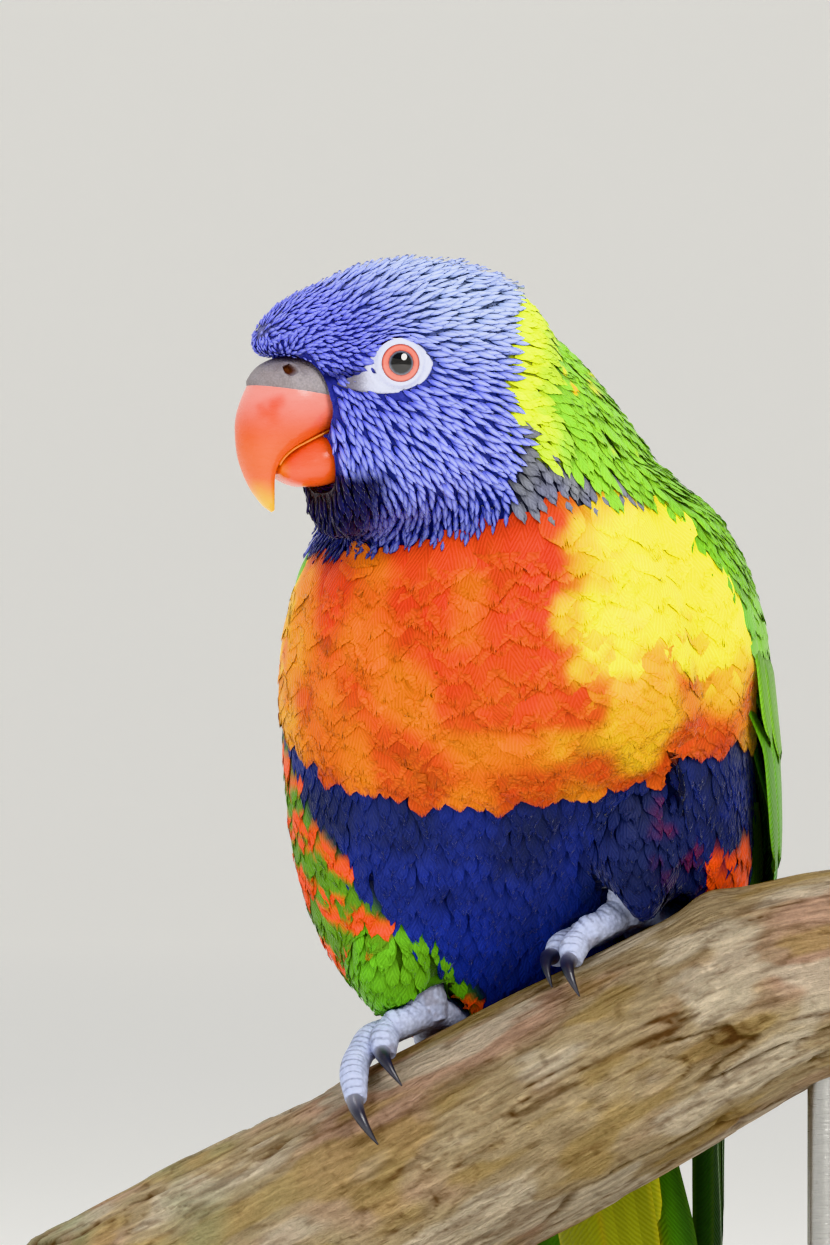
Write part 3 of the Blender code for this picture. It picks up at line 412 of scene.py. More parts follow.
def plumage_finish(name, pitch, relief, slant=20.0, roughness=0.62, sheen=0.25):
    """Feathers: the stored tint, with barbs that leave the shaft at a slant in degrees."""
    finish = Finish(name, Roughness=roughness, Sheen_Weight=sheen, Sheen_Roughness=0.4)
    finish.set("Specular IOR Level", 0.25)
    tint = finish.stored("tint")
    across, along = finish.chart("vane")
    wander = finish.noise(900.0, 2.0) * 3.2
    outward, forward = math.cos(math.radians(slant)), math.sin(math.radians(slant))
    barbs = ((across.size() * outward - along * forward) * (math.tau / pitch) + wander).sine() * 0.5 + 0.5
    split = finish.noise(2600.0, 2.0)
    finish.set("Base Color", finish.brighter(tint, 0.80 + barbs * 0.22 + split * 0.22))
    finish.raise_by(barbs + split * 0.5, relief)
    return finish.material


def flesh_finish():
    finish = Finish("under_down_in_shade", Roughness=0.9, Sheen_Weight=0.3)
    finish.set("Specular IOR Level", 0.1)
    down = finish.noise(1500.0, 3.0)
    # The stored colour is darkened further: painted shade deep in the coat
    finish.set("Base Color", finish.brighter(finish.stored("tint"), 0.35 + down * 0.5))
    finish.raise_by(down, 0.0004)
    return finish.material


def horn_finish(name, gloss):
    finish = Finish(name, Coat_Weight=0.35, Coat_Roughness=0.16)
    growth = finish.noise(1.0, 4.0, finish.stretched(finish.place(), (420.0, 420.0, 1100.0)))
    mottle = finish.noise(260.0, 3.0)
    finish.set("Base Color", finish.brighter(finish.stored("tint"), 0.78 + growth * 0.22 + mottle * 0.22))
    finish.set("Roughness", gloss + growth * 0.16)
    finish.raise_by(growth, 0.00012)
    return finish.material


def soft_skin_finish(name, pebble, depth, roughness=0.55):
    """Bare or scaly skin: the stored tint over small pebbles."""
    finish = Finish(name, Roughness=roughness)
    finish.set("Specular IOR Level", 0.4)
    pebbles = finish.cells(pebble)
    mottle = finish.noise(pebble * 0.35, 3.0)
    shade = 1.06 - pebbles * 0.30 + mottle * 0.20 - 0.10
    finish.set("Base Color", finish.brighter(finish.stored("tint"), shade))
    finish.raise_by(1.0 - pebbles, depth)
    return finish.material


def eye_finish():
    """Pupil, grey inner ring and orange-pink outer ring, by the distance from the eye's axis."""
    finish = Finish("eye_glass", Roughness=0.05, Coat_Weight=1.0, Coat_Roughness=0.02)
    flat = finish.stretched(finish.place(), (1.0, 1.0, 0.0))
    reach = finish.node("ShaderNodeVectorMath", {"operation": "LENGTH"}, {0: flat}, output=1)
    rays = finish.noise(1.0, 4.0, finish.stretched(finish.place(), (2600.0, 2600.0, 0.0)))
    spot = (reach + (rays - 0.5) * 0.00022) / EYE_RADIUS
    rings = finish.ramp(
        spot,
        (0.330, (0.003, 0.003, 0.004)),
        (0.346, srgb(50, 54, 64)),
        (0.392, srgb(92, 98, 110)),
        (0.415, srgb(128, 54, 48)),
        (0.460, srgb(226, 120, 102)),
        (0.560, srgb(236, 138, 120)),
        (0.600, srgb(186, 84, 70)),
        (0.640, srgb(110, 50, 48)),
        (0.680, srgb(40, 22, 24)),
    )
    finish.set("Base Color", finish.brighter(rings, 0.75 + rays * 0.5))
    return finish.material


def bark_finish():
    finish = Finish("bark", Roughness=0.82)
    finish.set("Specular IOR Level", 0.25)
    around, along = finish.chart("grain")
    warp = finish.noise(160.0, 2.0) * 1.6
    grain = finish.node("ShaderNodeCombineXYZ", sockets={0: around * 1100.0 + warp, 1: along * 150.0, 2: 0.0})
    fibres = finish.noise(1.0, 5.0, grain, 0.66).between(0.25, 0.75)
    grit = finish.noise(1700.0, 5.0, roughness=0.75)
    shade = 0.33 + fibres * 0.46 + grit * 0.52
    finish.set("Base Color", finish.brighter(finish.stored("tint"), shade))
    finish.raise_by(fibres * 0.8 + grit * 0.6, 0.0010)
    return finish.material


def wood_finish():
    """Dark stained, satin wood with a straight grain across the base."""
    finish = Finish("base_wood", Coat_Weight=0.25, Coat_Roughness=0.25)
    bands = finish.noise(1.0, 5.0, finish.stretched(finish.place(), (16.0, 210.0, 90.0)), 0.6)
    pores = finish.noise(1.0, 3.0, finish.stretched(finish.place(), (160.0, 2600.0, 1200.0)))
    dark, light = srgb(48, 28, 17), srgb(112, 70, 42)
    finish.set("Base Color", finish.blend((bands + (pores - 0.5) * 0.35).between(0.30, 0.72), dark, light))
    finish.set("Roughness", 0.34 + pores * 0.16)
    finish.raise_by(pores, 0.00012)
    return finish.material


def steel_finish():
    finish = Finish("rod_steel", Metallic=1.0)
    brushed = finish.noise(1.0, 3.0, finish.stretched(finish.place(), (500.0, 500.0, 9000.0)))
    finish.set("Base Color", finish.blend(brushed, srgb(150, 150, 148), srgb(190, 189, 186)))
    finish.set("Roughness", 0.22 + brushed * 0.16)
    finish.raise_by(brushed, 0.00004)
    return finish.material


def stage_finish(colour):
    finish = Finish("stage_paper", Roughness=0.9)
    finish.set("Base Color", finish.blend(finish.noise(3.0, 2.0) * 0.3, colour, [c * 0.94 for c in colour]))
    finish.set("Emission Color", colour)
    finish.set("Emission Strength", 0.42)
    return finish.material


# Mesh work


def new_piece(name, points, faces, finish, tint=None, maps=None):
    """A mesh from arrays: quads or triangles, a tint for each corner and maps of (u, v) for each."""
    faces = np.asarray(faces)
    mesh = bpy.data.meshes.new(name)
    mesh.vertices.add(len(points))
    mesh.vertices.foreach_set("co", np.ascontiguousarray(points, np.float32).ravel())
    mesh.loops.add(faces.size)
    mesh.loops.foreach_set("vertex_index", faces.astype(np.int32).ravel())
    mesh.polygons.add(len(faces))
    mesh.polygons.foreach_set("loop_start", np.arange(0, faces.size, faces.shape[1], dtype=np.int32))
    mesh.update(calc_edges=True)
    mesh.shade_smooth()
    if tint is not None:
        set_tint(mesh, tint)
    for map_name, uv in (maps or {}).items():
        layer = mesh.uv_layers.new(name=map_name)
        layer.data.foreach_set("uv", np.ascontiguousarray(uv[faces.ravel()], np.float32).ravel())
    obj = bpy.data.objects.new(name, mesh)
    bpy.context.scene.collection.objects.link(obj)
    mesh.materials.append(finish)
    return obj


def set_tint(mesh, tint):
    """Stores a colour for each corner, or one for all of them."""
    colours = mesh.color_attributes.new(name="tint", type="FLOAT_COLOR", domain="POINT")
    full = np.ones((len(mesh.vertices), 4), np.float32)
    full[:, :3] = np.clip(tint, 0, 4)
    colours.data.foreach_set("color", full.ravel())


def corners_of(mesh):
    points = np.empty(len(mesh.vertices) * 3, np.float32)
    mesh.vertices.foreach_get("co", points)
    return points.reshape(-1, 3).astype(float)


def set_corners(mesh, points):
    mesh.vertices.foreach_set("co", points.astype(np.float32).ravel())
    mesh.update()


def normals_of(mesh):
    normals = np.empty(len(mesh.vertices) * 3, np.float32)
    mesh.vertices.foreach_get("normal", normals)
    return normals.reshape(-1, 3).astype(float)


def faced_out(points, faces, middle):
    """The faces, turned over if more of them look towards the middle than away from it."""
    corners = points[faces]
    if faces.shape[1] == 3:
        normals = np.cross(corners[:, 1] - corners[:, 0], corners[:, 2] - corners[:, 0])
    else:
        normals = np.cross(corners[:, 2] - corners[:, 0], corners[:, 3] - corners[:, 1])
    outward = np.sum((corners.mean(1) - middle) * normals)
    return faces if outward > 0 else faces[:, ::-1]


def bands(levels, count):
    """Quads between rings of count corners that follow one another."""
    i = np.arange(count)
    j = np.roll(i, -1)
    starts = range(0, (levels - 1) * count, count)
    return np.vstack([np.stack([k + i, k + j, k + count + j, k + count + i], 1) for k in starts])


def woven(levels, count, points, middle):
    """Quads of a tube open at both ends, that face away from the middle."""
    return faced_out(points, bands(levels, count), middle)


def lofted(rings):
    """Corners and triangles of a closed tube through rings."""
    rings = np.asarray(rings)
    levels, count = rings.shape[:2]
    points = rings.reshape(-1, 3)
    i = np.arange(count)
    j = np.roll(i, -1)
    last = (levels - 1) * count
    ends = [np.stack([j, i, np.full(count, len(points))], 1)]
    ends.append(np.stack([last + i, last + j, np.full(count, len(points) + 1)], 1))
    quads = bands(levels, count)
    triangles = np.vstack([quads[:, [0, 1, 2]], quads[:, [0, 2, 3]], *ends])
    points = np.vstack([points, rings[0].mean(0), rings[-1].mean(0)])
    a, b, c = (points[triangles[:, k]] - points.mean(0) for k in range(3))
    return points, triangles if np.sum(a * np.cross(b, c)) > 0 else triangles[:, ::-1]


def add_form(shape, points, faces):
    """Adds a closed form to a bmesh."""
    made = new_piece("form", points, faces, None)
    shape.from_mesh(made.data)
    bpy.data.objects.remove(made)


def built(shape, name):
    """A new object with what a bmesh holds. The bmesh is freed."""
    mesh = bpy.data.meshes.new(name)
    shape.to_mesh(mesh)
    shape.free()
    obj = bpy.data.objects.new(name, mesh)
    bpy.context.scene.collection.objects.link(obj)
    return obj


def dressed(obj, finish, tint=None, crease=None):
    """Gives a piece its finish and tint, and sharp edges past an angle in degrees."""
    mesh = obj.data
    if tint is not None:
        set_tint(mesh, tint)
    mesh.materials.clear()
    mesh.materials.append(finish)
    mesh.shade_smooth()
    if crease:
        mesh.set_sharp_from_angle(angle=math.radians(crease))
    return obj


def shown(obj, slot, *nodes):
    """Puts a finished piece on the body, and hides these solids that it stands for."""
    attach(obj, "root")
    if nodes:
        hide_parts(*nodes)
    return obj


def apply_all(obj):
    graph = bpy.context.evaluated_depsgraph_get()
    mesh = bpy.data.meshes.new_from_object(obj.evaluated_get(graph))
    obj.modifiers.clear()
    obj.data = mesh
    return obj


def eased(obj, passes):
    ease = obj.modifiers.new("ease", "SMOOTH")
    ease.factor = 0.5
    ease.iterations = passes
    return apply_all(obj)


def fused(obj, cell, passes):
    """One smooth skin round everything in a mesh."""
    step = obj.modifiers.new("fuse", "REMESH")
    step.mode = "VOXEL"
    step.voxel_size = cell
    return eased(obj, passes)


def surface_of(obj):
    """A mesh as a tree to find nearest points on."""
    return BVHTree.FromPolygons([v.co for v in obj.data.vertices], [p.vertices for p in obj.data.polygons])


# Markings

TONES = {
    "forehead": srgb(84, 90, 214),
    "head": srgb(106, 118, 246),
    # Pale blue of the crown: partly its own paler streaked blue, partly painted light from above
    "crown": srgb(184, 206, 255),
    "head_streak": srgb(218, 228, 255),
    # Deep blue for the edges of head feathers: partly their own deeper blue, partly painted shade in the gaps
    # between them
    "head_gap": srgb(54, 60, 156),
    "throat": srgb(38, 44, 132),
    "chin": srgb(24, 24, 56),
    "band": srgb(112, 114, 116),
    "lime": srgb(240, 255, 56),
    "lime_edge": srgb(250, 255, 120),
    "nape": srgb(128, 184, 54),
    "back": srgb(104, 162, 40),
    "fleck": srgb(246, 196, 40),
    "yellow": srgb(255, 246, 50),
    "amber": srgb(240, 158, 30),
    "orange": srgb(196, 84, 30),
    "red": srgb(198, 56, 28),
    "breast_edge": srgb(240, 140, 50),
    "belly": srgb(34, 39, 66),
    "belly_light": srgb(38, 52, 142),
    "violet": srgb(116, 48, 92),
    "flank_green": srgb(88, 134, 34),
    "flank_red": srgb(230, 80, 26),
    "thigh": srgb(92, 160, 40),
    "vent": srgb(150, 168, 40),
    "maroon": srgb(128, 34, 56),
    "wing_blue": srgb(70, 150, 96),
}
BREAST_TOP = ((-38, 74), (-25, 71), (-16, 72), (0, 73.5), (10, 77), (18, 79.5), (25, 80.6), (33, 79))
BREAST_BOTTOM = ((-40, 45), (-31, 40), (-19, 32), (-7.5, 28.7), (13, 27.9), (27, 32), (37, 38.5), (40, 46))
BAND_TOP = ((-31, -18.7), (-24.4, -16.7), (-10.5, -10))
BLUE_EDGE = ((-16, 4.8), (-10, 2.8), (-4, -2.3), (20, -2.7))
LIME_WIDTH = 8.4
# Where the plumage of the front ends, in degrees round the back at some heights
FRONT_EDGE = ((38, 114), (45, 108), (52, 99), (60, 96), (64, 92), (70, 83), (75, 78), (84, 74))


def line(points, at):
    table = np.array(points, float)
    return np.interp(at, table[:, 0], table[:, 1])


def behind_head(hx, hz):
    """How far some places of the head's frame are behind the edge of the blue hood, in mm."""
    return -(0.955 * (hx + 15) + 0.297 * (hz - 14.7))


def round_back_of(x, y, z):
    """How far round the trunk some places are, in degrees from the front."""
    return np.degrees(np.arctan2(np.abs(y), x - look_up(MANTLE_DENSE, z)[0]))


def where_on_bird(points, jitter):
    """Shares, from 0 to 1, of the regions of the plumage at some points."""
    x, y, z = mm_on(BIRD, points)
    hx, _, hz = mm_on(HEAD, points)
    behind = behind_head(hx, hz) + 0.7 * jitter
    past_blue = behind - line(BLUE_EDGE, hz)
    round_back = round_back_of(x, y, z)
    front = round_back < line(FRONT_EDGE, z) + 2.5 * jitter
    below_top = line(BREAST_TOP, y) - 0.7 - z + 0.5 * jitter
    above_bottom = z - line(BREAST_BOTTOM, y) - 5.2 + 0.7 * jitter
    flank_from = np.where(y < 0, 17 + 0.55 * (z - 17), 31 + 0.35 * (z - 17))
    shoulder = (x < 5 - 0.8 * (z - 71) + jitter) & (z < 84)
    on_head = (past_blue < 0) & ~shoulder
    regions = {}
    regions["head"] = on_head & (below_top < 0)
    band = ~on_head & (hz < line(BAND_TOP, hx) + 1.2 * jitter) & (below_top < 0) & (hx > -32 + jitter)
    regions["band"] = band & ~shoulder
    neck = ~on_head & ((below_top < 0) | ~front) & (z > 66) & ~regions["band"]
    regions["lime"] = neck & (past_blue < LIME_WIDTH + jitter) & ~shoulder
    regions["nape"] = neck & ~regions["lime"]
    trunk = ~(regions["head"] | regions["band"] | neck)
    regions["breast"] = trunk & front & (above_bottom > 0)
    low = trunk & front & (above_bottom <= 0)
    regions["vent"] = low & (z < -6 + jitter) & (x < -12)
    regions["flank"] = low & (np.abs(y) + 1.2 * jitter > flank_from) & ~regions["vent"]
    regions["thigh"] = np.zeros(len(points), bool)
    for centre in THIGHS.values():
        offset = (np.column_stack([x, y, z]) - np.array(centre) / MM) / (np.array(THIGH_SIZE) / MM)
        regions["thigh"] |= (np.sum(offset**2, axis=1) < 1.15) & low
    regions["flank"] &= ~regions["thigh"]
    regions["belly"] = low & ~regions["vent"] & ~regions["flank"] & ~regions["thigh"]
    regions["back"] = trunk & ~front
    return regions


def colours_of(name, points, jitter, t):
    """Colours of one region's feathers at some points: tint, shaft and edge. t runs from root to tip."""
    x, y, z = mm_on(BIRD, points)
    hx, _, hz = mm_on(HEAD, points)
    slow = cloud(points, 9 * MM, 11)
    quick = cloud(points, 2.6 * MM, 12)
    behind = behind_head(hx, hz) + 0.7 * jitter
    past_blue = behind - line(BLUE_EDGE, hz)
    if name == "head":
        rearward = smooth(7, 27, np.hypot(hx - 22, hz - 3))
        # upward makes the crown and its streaks paler with height: partly the crown's own paler blue, partly
        # painted light from above
        upward = smooth(-5, 11, hz)
        low = smooth(-15, -25, hz)
        tint = blended(TONES["forehead"], TONES["head"], rearward)
        tint = blended(tint, TONES["crown"], rearward * upward * 0.9)
        tint = blended(tint, TONES["throat"], low * 0.85)
        chin = smooth(-13.5, -18.5, hz + 2 * (quick - 0.5)) * smooth(6.5, 12.5, hx + 2 * (slow - 0.5))
        tint = blended(tint, TONES["chin"], chin)
        # A dark band from the bill to the eye: partly dark feathers there, partly a painted shadow along the
        # top of the bare skin
        dark_lore_and_shadow = np.exp(-(((hz + 0.4 + 0.12 * (hx - 12)) / 0.9) ** 2)) * smooth(10.5, 13, hx)
        tint = blended(tint, TONES["chin"], dark_lore_and_shadow * 0.8)
        pale = 0.30 + 0.35 * rearward + 0.30 * upward * rearward
        pale = pale * (1 - chin) * (1 - 0.7 * low) * (1 - dark_lore_and_shadow)
        # Edges take head_gap: partly the feathers' deeper blue, partly painted shade between feathers
        return tint, blended(tint, TONES["head_streak"], pale), blended(tint, TONES["head_gap"], 0.8)
    if name == "band":
        tint = blended(TONES["band"], TONES["throat"], quick * 0.3)
        return tint, tint * 1.6, tint * 0.6
    if name == "lime":
        greener = smooth(0.72, 1.0, past_blue / LIME_WIDTH) * 0.6 + smooth(-6, -13, hz) * 0.5
        tint = blended(TONES["lime"], TONES["nape"], np.clip(greener, 0, 1))
        return tint, blended(tint, TONES["lime_edge"], 0.6), blended(tint, TONES["lime_edge"], 0.3)
    if name == "nape":
        tint = blended(TONES["nape"], TONES["back"], smooth(12, 34, past_blue))
        flecks = smooth(0.74, 0.86, quick) * smooth(24, 14, past_blue) * smooth(0.2, 0.7, t)
        tint = blended(tint, TONES["fleck"], flecks)
        return tint, tint * 1.25, blended(tint, TONES["lime"], 0.18)
    if name == "breast":
        out = np.where(y > 0, y, -y - 11) + 7 * (slow - 0.5) + 5 * (quick - 0.5) + 2.5 * (t - 0.5)
        yellow = smooth(17, 27, out) * smooth(45, 58, z + 6 * (quick - 0.5) + 2 * jitter)
        low_yellow = smooth(14, 27, out) * smooth(0.42, 0.68, slow) * 0.50
        orange = 0.05 + 0.45 * smooth(66, 34, z + 8 * (slow - 0.5))
        orange = orange + 0.45 * smooth(0.3, 0.8, quick) * t + 0.12 * jitter
        tint = blended(TONES["red"], TONES["orange"], np.clip(orange, 0, 1))
        tint = blended(tint, TONES["yellow"], np.maximum(yellow, low_yellow))
        # Breast painted up to 12% darker towards its lower part: painted shade
        tint = tint * mix(0.88, 1.0, smooth(34, 52, z))[:, None]
        amber = 0.35 * smooth(0.55, 0.8, slow) * (1 - yellow) + 0.5 * smooth(-24, -38, y)
        tint = blended(tint, TONES["amber"], amber)
        above_bottom = z - line(BREAST_BOTTOM, y)
        edge = blended(tint, TONES["breast_edge"], 0.35 * (1 - yellow))
        edge = blended(edge, TONES["violet"], smooth(4.0, -1.0, above_bottom + jitter) * 0.7)
        return tint, blended(tint, TONES["breast_edge"], 0.2), edge
    if name == "belly":
        lighter = smooth(0.4, 0.8, slow) * 0.35 + 0.35 * quick * t + 0.40 * smooth(24, 8, z)
        tint = blended(TONES["belly"], TONES["belly_light"], np.clip(lighter, 0, 1))
        return tint, tint * 1.35, blended(tint, TONES["belly_light"], 0.35)
    if name == "flank":
        inner = np.abs(y) - np.where(y < 0, 17 + 0.55 * (z - 17), 29 + 0.35 * (z - 17))
        waves = (z - 0.45 * np.abs(y)) * math.tau / 10.5 + 5 * (slow - 0.5) + 0.8 * jitter
        bars = smooth(0.0, 0.6, np.sin(waves))
        bars = np.where(y > 0, np.maximum(bars, smooth(0.30, 0.55, quick)), bars)
        tint = blended(TONES["belly"], TONES["flank_green"], smooth(1.5, 6.0, inner + 4 * (slow - 0.5)))
        tint = blended(tint, TONES["flank_red"], bars * smooth(0.25, 0.60, t))
        return tint, tint * 1.15, blended(tint, TONES["orange"], 0.5 * bars)
    if name == "thigh":
        tint = blended(TONES["thigh"], TONES["flank_green"], smooth(0.4, 0.8, slow) * 0.6)
        tint = blended(tint, blended(TONES["belly"], TONES["belly_light"], 0.3 * slow), smooth(2, 8, y))
        maroon = smooth(24, 30, y) * smooth(0.45, 0.75, quick) * smooth(0.3, 0.9, t)
        tint = blended(tint, TONES["maroon"], maroon * 0.5)
        return tint, tint * 1.3, tint * 1.15
    if name == "vent":
        tint = blended(TONES["vent"], TONES["flank_green"], slow)
        return tint, tint * 1.2, blended(tint, TONES["yellow"], 0.3)
    tint = blended(TONES["back"], TONES["nape"], quick * 0.5 + 0.3 * smooth(0.4, 0.8, slow))
    bluer = smooth(100, 86, round_back_of(x, y, z)) * smooth(0.45, 0.7, slow)
    tint = blended(tint, TONES["wing_blue"], bluer * 0.35)
    return tint, tint * 1.15, tint * 1.15


MANTLE_DENSE = dense(MANTLE)

# Feathers: distance apart, length, half width, all mm; height of root and tip over the skin
COAT = {
    "head": (1.02, 3.9, 0.50, 0.10, 0.85),
    "band": (1.20, 4.6, 0.70, 0.10, 0.75),
    "lime": (1.05, 4.8, 0.62, 0.10, 0.75),
    "nape": (1.30, 6.0, 0.85, 0.10, 0.85),
    "breast": (2.20, 9.5, 3.40, 0.35, 0.95),
    "belly": (1.40, 8.0, 1.05, 0.05, 0.65),
    "flank": (1.80, 9.0, 1.70, 0.05, 0.90),
    "thigh": (1.50, 6.0, 1.10, 0.10, 0.90),
    "vent": (1.90, 8.0, 1.90, 0.10, 1.00),
    "back": (1.90, 7.4, 2.10, 0.15, 0.95),
}
# Outlines: place along the vane and share of its half width
LANCE = ((0, 0.35), (0.22, 0.80), (0.50, 1.0), (0.75, 0.80), (0.92, 0.42), (1, 0.10))
BROAD = ((0, 0.40), (0.25, 0.82), (0.55, 1.0), (0.80, 0.95), (0.93, 0.74), (1, 0.42))
LOOSE = ((0, 0.40), (0.25, 0.85), (0.55, 1.0), (0.80, 0.80), (0.93, 0.50), (1, 0.20))
ROUND = ((0, 0.45), (0.25, 0.86), (0.55, 1.0), (0.80, 0.90), (0.93, 0.62), (1, 0.22))
# Kinds of vane: rows, columns, outline, how far the corners draw back, depth of the notches, camber
KINDS = {
    "lance": (7, 5, LANCE, 0.10, 0.00, 0.30),
    "plain": (7, 5, LOOSE, 0.14, 0.10, 0.20),
    "broad": (7, 17, BROAD, 0.20, 0.22, 0.05),
    "soft": (7, 5, LOOSE, 0.14, 0.08, 0.20),
    "scale": (7, 9, ROUND, 0.10, 0.05, 0.16),
    "loose": (7, 9, LOOSE, 0.14, 0.20, 0.12),
}
# Strength of the shaft's streak and of the edge, and brightness of the root, whose darkening is painted shade
# under the feathers that overlap it
SHADES = {
    "lance": (0.95, 0.60, 0.54),
    "plain": (0.3, 0.5, 0.45),
    "broad": (0.15, 0.50, 0.66),
    "soft": (0.30, 0.45, 0.66),
    "scale": (0.22, 0.40, 0.60),
    "loose": (0.3, 0.5, 0.45),
}
# Name of the finish, pitch and relief of its barbs, and slot
PLUMAGE = {
    "lance": ("head_plumage", 0.00045, 0.00006, "head_plumage"),
    "plain": ("band_plumage", 0.00050, 0.00006, "neck_plumage"),
    "soft": ("neck_plumage", 0.00050, 0.00006, "neck_plumage"),
    "scale": ("back_plumage", 0.00050, 0.00006, "back_plumage"),
    "broad": ("breast_plumage", 0.00055, 0.00007, "breast_plumage"),
    "loose": ("thigh_plumage", 0.00050, 0.00007, "thigh_plumage"),
}
KIND_OF = {
    "head": "lance",
    "band": "plain",
    "lime": "soft",
    "nape": "soft",
    "breast": "broad",
    "belly": "loose",
    "flank": "loose",
    "thigh": "loose",
    "vent": "loose",
    "back": "scale",
}
# The smallest feathers, round the bill: distance apart, length and half width, in mm
FACE_FEATHERS = (0.62, 1.7, 0.34)
VANE_THICKNESS = 0.00005
STIFF_THICKNESS = 0.00022
COVERT_THICKNESS = 0.00018


def mantle(height, angle, lift):
    """Points over the sheet that a folded wing lies on, in the bird's frame: mm and radians."""
    middle, reach, half = look_up(MANTLE_DENSE, height)
    normal = unit(np.stack([np.cos(angle) / reach, np.sin(angle) / half, np.zeros_like(half)], -1))
    base = np.stack([middle + reach * np.cos(angle), half * np.sin(angle), height + 0 * half], -1)
    return (base + normal * np.asarray(lift)[..., None]) * MM


# Flesh of the folded wings and of the back between, in mm: height, lift under the wing and in the middle
PAD = (
    (4.0, 0.6, 0.6),
    (12.0, 2.6, 3.2),
    (24.0, 3.0, 4.6),
    (34.0, 3.2, 5.2),
    (42.0, 4.2, 5.8),
    (48.0, 5.8, 6.0),
    (54.0, 7.1, 6.0),
    (60.0, 7.4, 5.8),
    (66.0, 7.2, 5.4),
    (71.0, 6.9, 5.0),
    (75.0, 6.0, 4.2),
    (78.0, 4.4, 3.0),
    (80.5, 2.0, 1.6),
    (84.0, 0.2, 0.2),
)


def wing_pad():
    """The flesh of both folded wings and of the back between them, as rings across it."""
    count = 61
    degrees = np.linspace(66, 294, count)
    past_side = np.minimum(degrees, 360 - degrees)
    rings = []
    for height, wing, middle in dense(PAD, 30):
        lift = mix(wing, middle, smooth(136, 158, past_side)) * smooth(66, 88, past_side)
        level = np.full(count, height)
        upper = mantle(level, np.radians(degrees), lift)
        under = mantle(level, np.radians(degrees), np.full(count, -3.0))[::-1][1:-1]
        rings.append(moved(np.vstack([upper, under]), BIRD))
    return lofted(rings)


def rump_form():
    angle = round_angles(32)
    rings = []
    for z, x, deep, wide in dense(RUMP, 30):
        ring = np.stack([x + deep * np.cos(angle), wide * np.sin(angle), np.full(32, z)], 1)
        rings.append(moved(ring, BIRD))
    return lofted(rings)


FLESH = ("head", "neck", "torso", "back", "thigh_left", "thigh_right")
# How far the flesh swells before it is fused, so that its pieces meet, and the size of the fusing cells
SWELL = 0.00035
SKIN_CELL = 0.0009
# Height over the head's middle from which the coat's depth is that of the head
HEAD_FROM = -0.024


class LORIKEET_OT_skin(bpy.types.Operator):
    """Makes one skin in place of the solids of flesh"""

    bl_idname = "lorikeet.skin"
    bl_label = "Skin"

    def execute(self, context):
        sizes = context.scene.lorikeet_coat
        shape = bmesh.new()
        for node in FLESH:
            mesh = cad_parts[node].data.copy()
            set_corners(mesh, corners_of(mesh) + normals_of(mesh) * SWELL)
            shape.from_mesh(mesh)
            bpy.data.meshes.remove(mesh)
        for points, faces in (wing_pad(), rump_form()):
            add_form(shape, points, faces)
        for side in (1, -1):
            place = Matrix.Translation(eye_axes(side)[0])
            radius = EYE_RADIUS + 0.0007
            bmesh.ops.create_uvsphere(shape, u_segments=24, v_segments=16, radius=radius, matrix=place)
        skin = fused(built(shape, "skin"), SKIN_CELL, 3)
        mesh = skin.data
        points = corners_of(mesh)
        deep = np.where(within(points, HEAD)[:, 2] > HEAD_FROM, sizes.head_depth, sizes.body_depth)
        set_corners(mesh, points - normals_of(mesh) * (deep + SWELL)[:, None])
        eased(skin, 6)
        points = corners_of(skin.data)
        tint, level = np.zeros((len(points), 3)), np.zeros(len(points))
        for name, chosen in where_on_bird(points + np.array((0, 0, 2.5 * MM)), level).items():
            tint[chosen] = colours_of(name, points[chosen], level[chosen], 0.3 + level[chosen])[0]
        # The skin takes its region's colour at 55%, darkened again by its finish: painted shade under and
        # between the feathers
        dressed(skin, flesh_finish(), tint * 0.55)
        context.view_layer.objects.active = skin
        skin.select_set(True)
        bpy.ops.object.mode_set(mode="EDIT")
        bpy.ops.mesh.select_all(action="SELECT")
        bpy.ops.uv.smart_project(angle_limit=math.radians(66), island_margin=0.004)
        bpy.ops.object.mode_set(mode="OBJECT")
        skin.select_set(False)
        skin.data.uv_layers[0].name = "OFBake"
        shown(skin, "breast_plumage", *FLESH)
        return {"FINISHED"}


def lie_of_coat(points, normals):
    """The direction in which the feathers lie at some points of the skin."""
    bird, head = within(points, BIRD) / MM, within(points, HEAD) / MM
    x, y, z = bird.T
    hx, _, hz = head.T
    away = head - np.array((23.5, 0.0, 4.0))
    away[:, 1] *= 0.6
    away[:, 2] += np.where(hz < 2, -0.30 * (2 - hz), 0.0)
    away = turned(unit(away), HEAD)
    down = np.stack([-0.10 + 0 * x, 0.10 * np.tanh(y / 15), -1 + 0 * x], 1)
    tail_way = np.array((-math.cos(TAIL_DIRECTION), 0, -math.sin(TAIL_DIRECTION)))
    down = blended(down, tail_way, smooth(12, -8, z))
    down = turned(unit(down), BIRD)
    behind = behind_head(hx, hz)
    on_body = np.maximum(smooth(-15, -25, hz), smooth(0, 16, behind))
    flow = blended(unit(away), down, on_body)
    flow -= normals * np.sum(flow * normals, axis=1, keepdims=True)
    return unit(flow)


